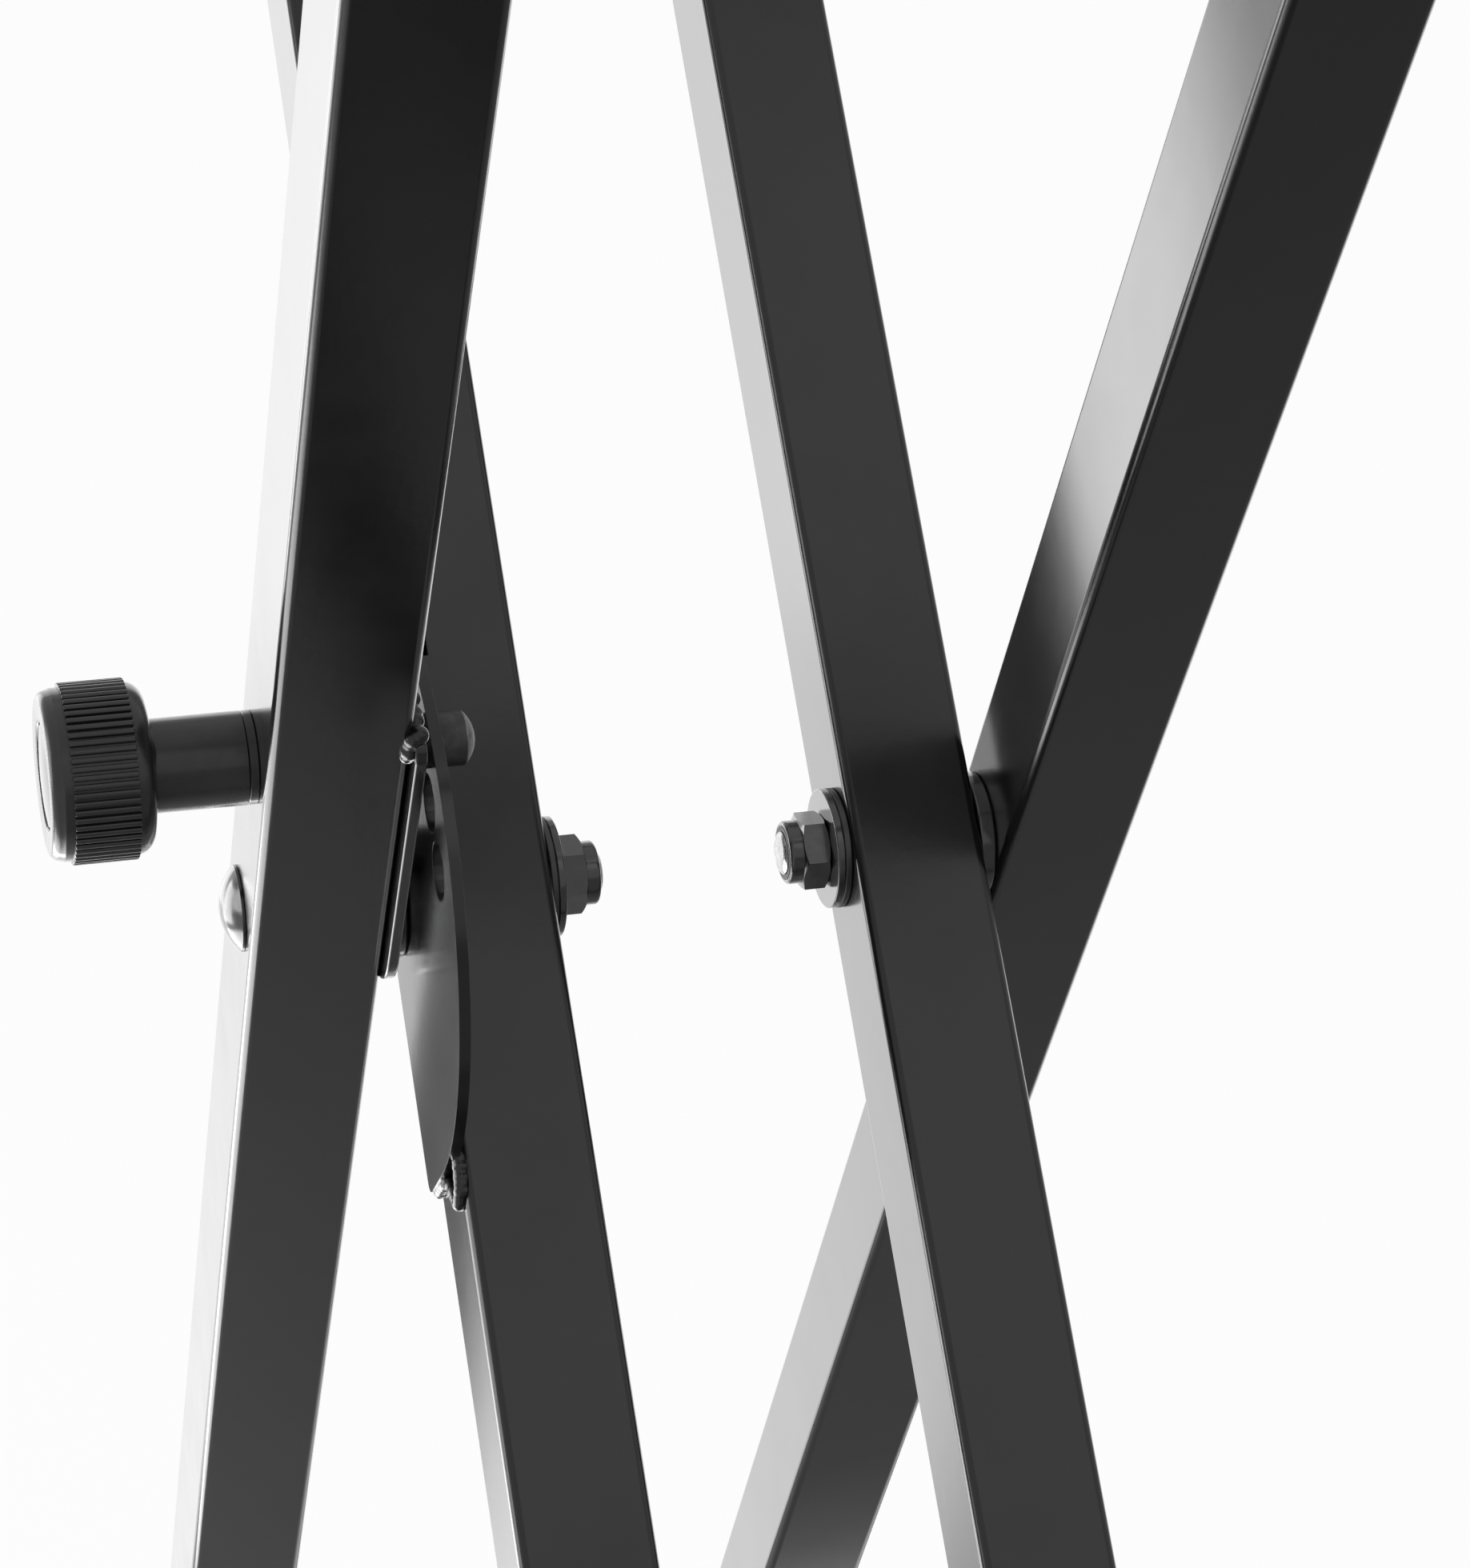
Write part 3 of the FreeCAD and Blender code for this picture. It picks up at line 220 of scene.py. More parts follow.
def square_loop(half, depth, corner):
    """A square loop with round corners, square to Y."""
    bpy.ops.object.select_all(action="DESELECT")
    bpy.ops.mesh.primitive_plane_add(
        size=half * 2, location=(0, depth, 0), rotation=(math.pi / 2, 0, 0))
    bpy.context.view_layer.objects.active = bpy.context.object
    bpy.ops.object.mode_set(mode="EDIT")
    bpy.ops.mesh.select_all(action="SELECT")
    bpy.ops.mesh.bevel(offset=corner, segments=6, affect="VERTICES")
    bpy.ops.mesh.delete(type="ONLY_FACE")
    bpy.ops.object.mode_set(mode="OBJECT")


def draw_out(name, stations, corner=None, closed=False, angle=SMOOTH_ANGLE):
    """Draws a loop out along Y through stations of (depth, half width).

    The loop is round, or square with that corner. A closed one ends on its first station, as a
    ring does, and another is capped at both ends.
    """
    depth, half = stations[0]
    if corner is None:
        round_loop(half, depth)
    else:
        square_loop(half, depth, corner)
    piece = begin(name)
    if not closed:
        bpy.ops.mesh.edge_face_add()
        pick("EDGE", lambda middle, direction: True)
    path = stations + stations[:1] if closed else stations
    for (depth, half), (next_depth, next_half) in zip(path, path[1:]):
        bpy.ops.mesh.extrude_edges_move(
            TRANSFORM_OT_translate={"value": (0, next_depth - depth, 0)})
        share = next_half / half
        bpy.ops.transform.resize(
            value=(share, 1, share), center_override=(0, next_depth, 0))
    if not closed:
        bpy.ops.mesh.edge_face_add()
    close_up(piece, angle)
    return piece


def arc(depth, half, radius, start, end, steps):
    """Stations round an arc: its angles, in degrees, are 0 towards +depth and 90 outwards."""
    stations = []
    for step in range(steps + 1):
        angle = math.radians(start + (end - start) * step / steps)
        stations.append((depth + radius * math.cos(angle), half + radius * math.sin(angle)))
    return stations


def dome(depth, half, height, steps, outwards=-1):
    """Stations of a shallow dome from near its pole to its rim, standing out from depth."""
    radius = (half ** 2 + height ** 2) / (2 * height)
    reach = math.asin(half / radius)
    centre = depth - outwards * (radius - height)
    stations = []
    for step in range(1, steps + 1):
        angle = reach * step / steps
        stations.append((centre + outwards * radius * math.cos(angle), radius * math.sin(angle)))
    return stations


def ring(name, outer, inner, thickness, edge):
    """A washer or bush from the origin towards +Y."""
    piece = draw_out(
        name, [(0, inner), (0, outer), (thickness, outer), (thickness, inner)], closed=True)
    soften(piece, edge)
    return piece


NUT_TURN = math.radians(6)


def hexagon_nut(name, across_flats, height, collar, collar_half, bore):
    """A nut along Y: hexagon with chamfered corners, and a round collar at its far end."""
    corner = across_flats / math.sqrt(3)
    flat = across_flats / 2
    hexagon = height - collar
    bpy.ops.object.select_all(action="DESELECT")
    bpy.ops.mesh.primitive_cylinder_add(
        vertices=6, radius=corner, depth=hexagon,
        location=(0, hexagon / 2, 0), rotation=(math.pi / 2, NUT_TURN, 0))
    piece = begin(name)
    close_up(piece)
    # a cone at each end leaves the crescent shaped chamfer of a turned hexagon
    start, beyond, reach = 0.25 * MM, 2 * MM, corner * 0.62
    for far, outwards in ((0, -1), (hexagon, 1)):
        cone = draw_out(name + "_chamfer", [
            (far - outwards * reach, corner + reach * 1.75 - start),
            (far, flat - start),
            (far + outwards * beyond, flat - start),
            (far + outwards * beyond, corner * 3),
            (far - outwards * reach, corner * 3),
        ], closed=True)
        cut_away(piece, cone)
    rounding = 1.0 * MM
    top = draw_out(name + "_collar", [
        (hexagon - 0.4 * MM, collar_half), (height - rounding, collar_half),
        *arc(height - rounding, collar_half - rounding, rounding, 90, 20, 5),
        (height - 0.1 * MM, bore + 1.3 * MM), (height - 0.25 * MM, bore + 0.75 * MM),
        (height - 1.5 * MM, bore + 0.5 * MM),
    ])
    soften(piece, 0.25 * MM, 2)
    return join(name, [piece, top])


# ------------------------------------------------------------------ materials


def material(name, color, metallic=0.0, roughness=0.5, specular=0.5, coat=0.0):
    """A new material with constant values, which the functions below make vary."""
    made = bpy.data.materials.new(name)
    made.use_nodes = True
    shader = made.node_tree.nodes["Principled BSDF"]
    shader.inputs["Base Color"].default_value = (*color, 1)
    shader.inputs["Metallic"].default_value = metallic
    shader.inputs["Roughness"].default_value = roughness
    shader.inputs["Specular IOR Level"].default_value = specular
    shader.inputs["Coat Weight"].default_value = coat
    shader.inputs["Coat Roughness"].default_value = 0.1
    return made


def add(made, kind, inputs=None, **settings):
    """Adds a node to the material, with values for its inputs and its settings."""
    node = made.node_tree.nodes.new(kind)
    for name, value in settings.items():
        setattr(node, name, value)
    for name, value in (inputs or {}).items():
        node.inputs[name].default_value = value
    return node


def link(made, source, target):
    made.node_tree.links.new(source, target)


def noise(made, scale, stretch=(1, 1, 1)):
    """Noise on the piece's own coordinates, scale in cells per metre."""
    place = add(made, "ShaderNodeTexCoord")
    mapping = add(made, "ShaderNodeMapping", {"Scale": stretch})
    texture = add(
        made, "ShaderNodeTexNoise", {"Scale": scale, "Detail": 4.0, "Roughness": 0.55})
    link(made, place.outputs["Object"], mapping.inputs["Vector"])
    link(made, mapping.outputs["Vector"], texture.inputs["Vector"])
    return texture.outputs["Fac"]


def vary_roughness(made, scale, low, high, stretch=(1, 1, 1)):
    """Lets the roughness drift between low and high."""
    spread = add(made, "ShaderNodeMapRange", {
        "From Min": 0.3, "From Max": 0.7, "To Min": low, "To Max": high})
    link(made, noise(made, scale, stretch=stretch), spread.inputs["Value"])
    shader = made.node_tree.nodes["Principled BSDF"]
    link(made, spread.outputs["Result"], shader.inputs["Roughness"])


def vary_color(made, scale, first, second):
    """Lets the colour drift between two colours."""
    ramp = add(made, "ShaderNodeValToRGB")
    ramp.color_ramp.elements[0].position = 0.35
    ramp.color_ramp.elements[0].color = (*first, 1)
    ramp.color_ramp.elements[1].position = 0.65
    ramp.color_ramp.elements[1].color = (*second, 1)
    link(made, noise(made, scale), ramp.inputs["Fac"])
    shader = made.node_tree.nodes["Principled BSDF"]
    link(made, ramp.outputs["Color"], shader.inputs["Base Color"])


def bump(made, layers):
    """Stacks bumps of (scale, depth in metres, stretch) on the shader's normal."""
    before = None
    for scale, depth, stretch in layers:
        node = add(made, "ShaderNodeBump", {"Strength": 1.0, "Distance": depth})
        link(made, noise(made, scale, stretch=stretch), node.inputs["Height"])
        if before:
            link(made, before.outputs["Normal"], node.inputs["Normal"])
        before = node
    shader = made.node_tree.nodes["Principled BSDF"]
    link(made, before.outputs["Normal"], shader.inputs["Normal"])


def shine_at_a_slant(made, ior):
    """A clear top coat that comes in where the surface is seen at a slant, as thick gloss does."""
    facing = add(made, "ShaderNodeLayerWeight", {"Blend": 0.5})
    rise = add(made, "ShaderNodeMapRange", {
        "From Min": 0.585, "From Max": 0.635, "To Min": 0.0, "To Max": 1.0})
    shader = made.node_tree.nodes["Principled BSDF"]
    shader.inputs["Coat IOR"].default_value = ior
    shader.inputs["Coat Roughness"].default_value = 0.18
    link(made, facing.outputs["Facing"], rise.inputs["Value"])
    link(made, rise.outputs["Result"], shader.inputs["Coat Weight"])


EVEN = (1, 1, 1)

gloss_paint = material("gloss_black_paint", (0.006, 0.006, 0.0063), roughness=0.2, specular=0.42)
shine_at_a_slant(gloss_paint, 2.0)
vary_roughness(gloss_paint, 45, 0.17, 0.24)
vary_color(gloss_paint, 18, (0.0055, 0.0055, 0.0058), (0.0075, 0.0075, 0.0078))
bump(gloss_paint, [(520, 0.000012, EVEN), (70, 0.00005, EVEN)])

moulding = material("black_moulded_plastic", (0.012, 0.012, 0.0125), roughness=0.3)
shine_at_a_slant(moulding, 1.5)
vary_roughness(moulding, 220, 0.24, 0.36)
vary_color(moulding, 90, (0.010, 0.010, 0.0105), (0.016, 0.016, 0.0165))
bump(moulding, [(2600, 0.000010, EVEN), (160, 0.00003, EVEN)])

cap_gloss = material("polished_black_cap", (0.02, 0.02, 0.021), roughness=0.08, coat=0.6)
vary_roughness(cap_gloss, 300, 0.06, 0.12)
vary_color(cap_gloss, 120, (0.016, 0.016, 0.017), (0.024, 0.024, 0.025))

black_zinc = material("black_zinc_plate", (0.014, 0.014, 0.0145), roughness=0.16, specular=0.7)
shine_at_a_slant(black_zinc, 2.0)
vary_roughness(black_zinc, 420, 0.12, 0.26)
vary_color(black_zinc, 260, (0.010, 0.010, 0.0105), (0.022, 0.022, 0.0225))
bump(black_zinc, [(1500, 0.000014, EVEN), (240, 0.00003, EVEN)])

bright_steel = material("turned_steel", (0.55, 0.55, 0.56), metallic=1.0, roughness=0.28)
vary_roughness(bright_steel, 900, 0.2, 0.36, (1, 6, 1))
vary_color(bright_steel, 300, (0.45, 0.45, 0.46), (0.62, 0.62, 0.63))
bump(bright_steel, [(2400, 0.000008, (1, 8, 1))])

dark_steel = material("oiled_dark_steel", (0.13, 0.13, 0.135), metallic=0.6, roughness=0.45)
vary_roughness(dark_steel, 600, 0.38, 0.55)
vary_color(dark_steel, 350, (0.035, 0.035, 0.037), (0.06, 0.06, 0.062))
bump(dark_steel, [(2200, 0.00001, EVEN)])

worn_steel = material("worn_pin_tip", (0.2, 0.2, 0.205), metallic=0.8, roughness=0.5)
vary_roughness(worn_steel, 1200, 0.42, 0.6)
vary_color(worn_steel, 700, (0.15, 0.15, 0.155), (0.26, 0.26, 0.265))
bump(worn_steel, [(2600, 0.000015, EVEN)])

nylon = material("black_nylon", (0.02, 0.02, 0.021), roughness=0.4)
vary_roughness(nylon, 500, 0.34, 0.48)
vary_color(nylon, 200, (0.017, 0.017, 0.018), (0.026, 0.026, 0.027))

rubber = material("matt_black_rubber", (0.022, 0.022, 0.023), roughness=0.7, specular=0.35)
vary_roughness(rubber, 260, 0.6, 0.8)
vary_color(rubber, 60, (0.018, 0.018, 0.019), (0.030, 0.030, 0.031))
bump(rubber, [(1400, 0.00004, EVEN), (90, 0.00008, EVEN)])


# ------------------------------------------------------------------ square tubes


def square_tube(name, length):
    """A square tube along Y about the origin, with drawn round corners and open ends."""
    bpy.ops.object.select_all(action="DESELECT")
    bpy.ops.mesh.primitive_cube_add(size=1, scale=(TUBE, length, TUBE))
    piece = begin(name)
    pick("EDGE", lambda middle, direction: abs(direction.y) > 0.9)
    bpy.ops.mesh.bevel(offset=TUBE_CORNER, segments=8, profile=0.5)
    pick("FACE", lambda middle, normal: abs(normal.y) > 0.9)
    bpy.ops.mesh.delete(type="FACE")
    close_up(piece)
    finish_with(piece, "SOLIDIFY", thickness=TUBE_WALL, offset=-1.0)
    shade(piece)
    return piece


UPRIGHT = Matrix.Rotation(math.pi / 2, 4, "X")

for side, place, front in (
    ("outer", "front", OUTER_FRONT), ("outer", "rear", OUTER_REAR),
    ("inner", "front", INNER_FRONT), ("inner", "rear", INNER_REAR),
):
    leg = square_tube(f"{side}_{place}_leg_tube", LEG_LENGTH)
    move(leg, UPRIGHT)
    if (side, place) == ("inner", "front"):
        # the storage hole cuts 9.8 mm deep into the edge of this leg
        bit = draw_out("storage_drill", [(-TUBE / 2 - 1 * MM, LOCK_HOLE), (-5.2 * MM, LOCK_HOLE)])
        angle = LOCK_ANGLES[0]
        move(bit, Matrix.Translation(
            (LOCK_CIRCLE * math.sin(angle), 0, LOCK_CIRCLE * math.cos(angle))))
        cut_away(leg, bit)
        shade(leg)
    seat(leg, side, front + TUBE / 2)
    fit(leg, f"{side}_frame", "black_powder_coat", gloss_paint, f"{side}_{place}_leg")

for side in ("outer", "inner"):
    arm = square_tube(f"{side}_arm_tube", ARM_LENGTH)
    seat(arm, side, 0, BAR_REACH)
    fit(arm, f"{side}_frame", "black_powder_coat", gloss_paint, f"{side}_top_arm")
    foot = square_tube(f"{side}_foot_tube", FOOT_LENGTH)
    seat(foot, side, 0, -BAR_REACH)
    fit(foot, f"{side}_frame", "black_powder_coat", gloss_paint, f"{side}_foot_bar")


# ------------------------------------------------------------------ rubber


def rubber_cap(name, wall, corner, cover, end, grooves):
    """A grooved rubber cap over a tube's end, which is at the origin with the tube towards +Y."""
    half = TUBE / 2 + wall
    inside = TUBE / 2 + 0.05 * MM
    edge = 2.0 * MM
    stations = [(-end, half - edge)]
    stations += arc(-end + edge, half - edge, edge, 180, 90, 5)[1:]
    first, pitch, width = 8 * MM, 7 * MM, 2.4 * MM
    lip, depth = 0.35 * MM, 1.1 * MM
    for groove in range(grooves):
        start = first + pitch * groove
        stop = start + width
        stations += [
            (start - lip, half), (start, half - lip), (start, half - depth),
            (stop, half - depth), (stop, half - lip), (stop + lip, half),
        ]
    stations += [
        (cover - 0.8 * MM, half), (cover, half - 0.8 * MM), (cover, inside), (0, inside),
    ]
    return draw_out(name, stations, corner, angle=30)


for side in ("outer", "inner"):
    for place, turned_back in (("front", False), ("rear", True)):
        sign = 1 if turned_back else -1
        sleeve = rubber_cap(f"{side}_{place}_sleeve", 3 * MM, 5 * MM, 76 * MM, 4 * MM, 9)
        seat(sleeve, side, sign * ARM_LENGTH / 2, BAR_REACH, turned_back)
        fit(sleeve, f"{side}_frame", "black_rubber", rubber, f"{side}_arm_{place}_sleeve")
        boot = rubber_cap(f"{side}_{place}_boot", 5 * MM, 8 * MM, 42 * MM, 5 * MM, 4)
        seat(boot, side, sign * FOOT_LENGTH / 2, -BAR_REACH, turned_back)
        fit(boot, f"{side}_frame", "black_rubber", rubber, f"{side}_foot_{place}_boot")


# ------------------------------------------------------------------ plates and their welds


def drill(piece, across, up, radius):
    """Drills a hole right through a plate."""
    bit = draw_out("bit", [(-20 * MM, radius), (20 * MM, radius)])
    move(bit, Matrix.Translation((across, 0, up)))
    cut_away(piece, bit)


def weld_bead(name, path, radius, ripples, seed):
    """A bead of overlapping ripples along a path of points, uneven as a hand weld is."""
    blobs = []
    for ripple in range(ripples):
        share = ripple / max(ripples - 1, 1) * (len(path) - 1)
        stretch = min(int(share), len(path) - 2)
        spot = Vector(path[stretch]).lerp(Vector(path[stretch + 1]), share - stretch)
        wobble = math.sin(seed + ripple * 2.4)
        size = radius * (1 + 0.14 * wobble)
        bpy.ops.object.select_all(action="DESELECT")
        bpy.ops.mesh.primitive_uv_sphere_add(
            segments=20, ring_count=12, radius=size,
            location=spot + Vector((0, 0.12, 0.1)) * radius * wobble)
        blobs.append(bpy.context.object)
    piece = join(name, blobs)
    alone(piece)
    bpy.ops.object.transform_apply(location=True, rotation=True, scale=True)
    finish_with(piece, "REMESH", mode="VOXEL", voxel_size=0.3 * MM)
    finish_with(piece, "SMOOTH", factor=0.5, iterations=3)
    alone(piece)
    bpy.ops.object.shade_smooth()
    return piece


# lock plate: half a disc and a rectangle, back face at the origin on the inner leg
bpy.ops.object.select_all(action="DESELECT")
bpy.ops.mesh.primitive_cylinder_add(
    vertices=256, radius=LOCK_RIM, depth=PLATE,
    location=(LOCK_RIM_OFFSET, -PLATE / 2, 0), rotation=(math.pi / 2, 0, 0))
lock_plate = begin("lock_plate_disc")
bpy.ops.mesh.bisect(
    plane_co=(LOCK_RIM_OFFSET, 0, 0), plane_no=(1, 0, 0), clear_inner=True, use_fill=True)
pick("FACE", lambda middle, normal: normal.x < -0.9)
bpy.ops.mesh.extrude_region_move(
    TRANSFORM_OT_translate={"value": (-TUBE / 2 - LOCK_RIM_OFFSET, 0, 0)})
pick("EDGE", lambda middle, direction: middle.x < -TUBE / 2 + 1e-5 and abs(direction.y) > 0.9)
bpy.ops.mesh.bevel(offset=3 * MM, segments=6)
close_up(lock_plate)
for angle in LOCK_ANGLES:
    drill(lock_plate, LOCK_CIRCLE * math.sin(angle), LOCK_CIRCLE * math.cos(angle), LOCK_HOLE)
# the edges are chamfered, and the chamfers a little rounded
soften(lock_plate, 0.7 * MM, 1, 50)
soften(lock_plate, 0.15 * MM, 2, 25)
seat(lock_plate, "inner", INNER_FRONT)
fit(lock_plate, "inner_frame", "black_powder_coat", gloss_paint, "lock_plate")

# each bead runs along the plate's end and turns down the leg's corner in a loop
for name, up in (("lower", -1), ("upper", 1)):
    edge = up * (LOCK_RIM + 0.1 * MM)
    bead = weld_bead(f"lock_plate_{name}_bead", [
        (-12.8 * MM, -0.5 * MM, edge), (-2 * MM, -0.6 * MM, edge + up * 0.3 * MM),
        (5 * MM, -0.9 * MM, edge + up * 2.6 * MM), (11.2 * MM, -0.8 * MM, edge + up * 8.6 * MM),
        (14.4 * MM, -0.5 * MM, edge + up * 5.4 * MM), (14.9 * MM, -0.1 * MM, edge - up * 1.5 * MM),
    ], 1.55 * MM, 30, up)
    seat(bead, "inner", INNER_FRONT)
    fit(bead, "inner_frame", "black_powder_coat", gloss_paint)

# guide plate: a strip with a round lower end, front face at the origin on the outer leg
GUIDE_HALF = 19 * MM
GUIDE_TOP = 79 * MM
bpy.ops.object.select_all(action="DESELECT")
bpy.ops.mesh.primitive_cylinder_add(
    vertices=128, radius=GUIDE_HALF, depth=PLATE,
    location=(0, PLATE / 2, 0), rotation=(math.pi / 2, 0, 0))
guide_plate = begin("guide_plate_strip")
bpy.ops.mesh.bisect(plane_co=(0, 0, 0), plane_no=(0, 0, 1), clear_outer=True, use_fill=True)
pick("FACE", lambda middle, normal: normal.z > 0.9)
bpy.ops.mesh.extrude_region_move(TRANSFORM_OT_translate={"value": (0, 0, GUIDE_TOP)})
pick("EDGE", lambda middle, direction: middle.z > GUIDE_TOP - 1e-5 and abs(direction.y) > 0.9)
bpy.ops.mesh.bevel(offset=4 * MM, segments=6)
close_up(guide_plate)
drill(guide_plate, 0, LOCK_CIRCLE, PIN + 0.08 * MM)
soften(guide_plate, 0.4 * MM, 3, 50)
seat(guide_plate, "outer", OUTER_FRONT + TUBE)
fit(guide_plate, "outer_frame", "black_powder_coat", gloss_paint, "guide_plate")

top_bead = weld_bead("guide_plate_top_bead", [
    (-13.5 * MM, 0.9 * MM, GUIDE_TOP + 0.4 * MM),
    (14.6 * MM, 0.9 * MM, GUIDE_TOP + 0.4 * MM)], 1.9 * MM, 16, 3)
near_bead = weld_bead("guide_plate_near_bead", [
    (14.9 * MM, -0.2 * MM, GUIDE_TOP - 0.2 * MM),
    (15.5 * MM, -0.9 * MM, GUIDE_TOP - 5 * MM)], 1.9 * MM, 5, 1)
far_bead = weld_bead("guide_plate_far_bead", [
    (-15.5 * MM, -0.9 * MM, GUIDE_TOP - 5 * MM),
    (-14.9 * MM, -0.2 * MM, GUIDE_TOP - 0.2 * MM)], 1.9 * MM, 5, 2)
for bead in (top_bead, near_bead, far_bead):
    seat(bead, "outer", OUTER_FRONT + TUBE)
    fit(bead, "outer_frame", "black_powder_coat", gloss_paint)


# ------------------------------------------------------------------ pivots

FRONT_CLAMP = 71.2 * MM
REAR_CLAMP = 67.1 * MM
NUT = 9.4 * MM
HEAD = 9.75 * MM
HEAD_RIM = 0.9 * MM
SHANK = 5 * MM
PROUD = 0.9 * MM  # how far the bolt's end stands out of its nut
TURNS = 9
THREAD_PITCH = 0.95 * MM

for place, face, clamp, turned_back in (
    ("front", OUTER_FRONT, FRONT_CLAMP, False),
    ("rear", OUTER_REAR + TUBE, REAR_CLAMP, True),
):
    length = clamp + NUT + PROUD
    bolt = draw_out(f"{place}_bolt_head", [
        *dome(-HEAD_RIM, HEAD - 0.25 * MM, 3.6 * MM, 18),
        (-HEAD_RIM + 0.2 * MM, HEAD), (-0.15 * MM, HEAD),
        (0, HEAD - 0.2 * MM), (0, SHANK), (6 * MM, SHANK),
    ], angle=25)
    seat(bolt, "outer", face, 0, turned_back)
    fit(bolt, "outer_frame", "black_zinc", black_zinc, f"{place}_pivot_bolt")

    # the end of the shank, with the last turns of its thread
    thread = []
    for turn in range(TURNS):
        start = length - 8.8 * MM + turn * THREAD_PITCH
        thread += [(start, SHANK - 0.5 * MM), (start + 0.45 * MM, SHANK - 0.02 * MM)]
    stub = draw_out(f"{place}_bolt_end", [
        (length - 12 * MM, SHANK), *thread, (length - 0.35 * MM, SHANK - 0.35 * MM),
        (length, SHANK - 0.9 * MM),
    ], angle=25)
    soften(stub, 0.1 * MM, 2, 50)
    seat(stub, "outer", face, 0, turned_back)
    fit(stub, "outer_frame", "plain_steel", bright_steel)

WASHER = 13.7 * MM
BOLT_HOLE = 5.1 * MM
SLIDE_WASHER = 1.5 * MM
CLAMP_WASHER = 1.8 * MM
for kind, pattern, back, slot, finish in (
    ("slide_washer", ring("slide_washer", WASHER, BOLT_HOLE, SLIDE_WASHER, 0.3 * MM),
     -SLIDE_WASHER - CLAMP_WASHER, "black_nylon", nylon),
    ("clamp_washer", ring("clamp_washer", WASHER, BOLT_HOLE, CLAMP_WASHER, 0.35 * MM),
     -CLAMP_WASHER, "black_zinc", black_zinc),
    ("lock_nut", hexagon_nut("lock_nut", 15.6 * MM, NUT, 3.2 * MM, 7.3 * MM, SHANK),
     0, "black_zinc", black_zinc),
):
    front, rear = pattern, copy_of(pattern)
    seat(front, "outer", OUTER_FRONT + FRONT_CLAMP + back)
    seat(rear, "outer", OUTER_REAR + TUBE - REAR_CLAMP - back, 0, True)
    both = join(f"{kind}s", [front, rear])
    fit(both, "outer_frame", slot, finish, f"pivot_{kind}s")

for place, thickness, depth, turned_back in (
    ("front", 2.7 * MM, OUTER_FRONT + TUBE + PLATE, False),
    ("rear", 3.6 * MM, OUTER_REAR, True),
):
    spacer = ring(f"{place}_spacer_disc", 14.5 * MM, BOLT_HOLE, thickness, 0.5 * MM)
    seat(spacer, "outer", depth, 0, turned_back)
    fit(spacer, "outer_frame", "black_zinc", black_zinc, f"{place}_pivot_spacer")


# ------------------------------------------------------------------ plunger


def seat_on_pin(piece):
    """Seats a piece on the pin's axis, its origin at the front leg's front face."""
    seat(piece, "outer", OUTER_FRONT, LOCK_CIRCLE)


HOUSING_BORE = 6.1 * MM
BARREL = 8 * MM
BARREL_FRONT = -20 * MM
BARREL_BACK = 3.5 * MM
FLANGE = 10 * MM
FLANGE_FRONT = -2 * MM
housing = draw_out("housing_flange", [
    (BARREL_FRONT, HOUSING_BORE), (BARREL_FRONT, BARREL), (FLANGE_FRONT, BARREL),
    (FLANGE_FRONT, FLANGE - 0.15 * MM), (FLANGE_FRONT + 0.15 * MM, FLANGE),
    (-0.2 * MM, FLANGE), (0, FLANGE - 0.2 * MM), (0, BARREL),
    (BARREL_BACK, BARREL), (BARREL_BACK, HOUSING_BORE),
], closed=True)
seat_on_pin(housing)
fit(housing, "outer_frame", "black_zinc", moulding, "plunger_housing")

PIN_END = 45 * MM
pin = draw_out("pin_shaft", [
    (-22 * MM, PIN), (PIN_END - 0.2 * MM, PIN), (PIN_END, PIN - 0.15 * MM),
], angle=25)
seat_on_pin(pin)
fit(pin, "plunger", "plain_steel", dark_steel, "plunger_pin")
tip = draw_out("pin_tip", [
    *dome(PIN_END, PIN - 0.15 * MM, 2.5 * MM, 14, outwards=1),
    (PIN_END - 0.2 * MM, PIN - 0.2 * MM),
], angle=60)
seat_on_pin(tip)
fit(tip, "plunger", "plain_steel", worn_steel)

KNOB = 18.25 * MM
KNOB_FACE = -44 * MM
KNOB_BACK = -22.2 * MM
RIBS_FRONT = -39.6 * MM
RIBS_BACK = -25.9 * MM
CAP_SEAT = 11.5 * MM
CAP_SEAT_DEPTH = -42.4 * MM
SHOULDER = 4 * MM
NECK = 10 * MM
NECK_ROOT = 1.2 * MM
NECK_BORE = 8.3 * MM
NECK_BACK = -2.1 * MM
ROOT_CENTRE = NECK + NECK_ROOT
knob = draw_out("knob_body", [
    (CAP_SEAT_DEPTH, CAP_SEAT), (KNOB_FACE + 0.45 * MM, CAP_SEAT),
    (KNOB_FACE + 0.15 * MM, CAP_SEAT + 0.2 * MM),
    (KNOB_FACE, CAP_SEAT + 0.6 * MM), (KNOB_FACE, 13.6 * MM),
    *arc(KNOB_FACE + 1.8 * MM, KNOB - 2.4 * MM, 2.0 * MM, 165, 100, 8),
    (KNOB_FACE + 2.4 * MM, KNOB - 0.2 * MM), (KNOB_FACE + 2.8 * MM, KNOB),
    *arc(KNOB_BACK - SHOULDER, KNOB - SHOULDER, SHOULDER, 90, 0, 10),
    # the root is an arc turned inside out
    *[(depth, 2 * ROOT_CENTRE - half) for depth, half in
      reversed(arc(KNOB_BACK + NECK_ROOT, ROOT_CENTRE, NECK_ROOT, 90, 180, 5))],
    (NECK_BACK - 0.15 * MM, NECK + 0.05 * MM), (NECK_BACK, NECK - 0.1 * MM),
    (NECK_BACK, NECK_BORE), (-4 * MM, NECK_BORE),
], angle=30)
seat_on_pin(knob)
fit(knob, "plunger", "black_moulding", moulding, "plunger_knob")

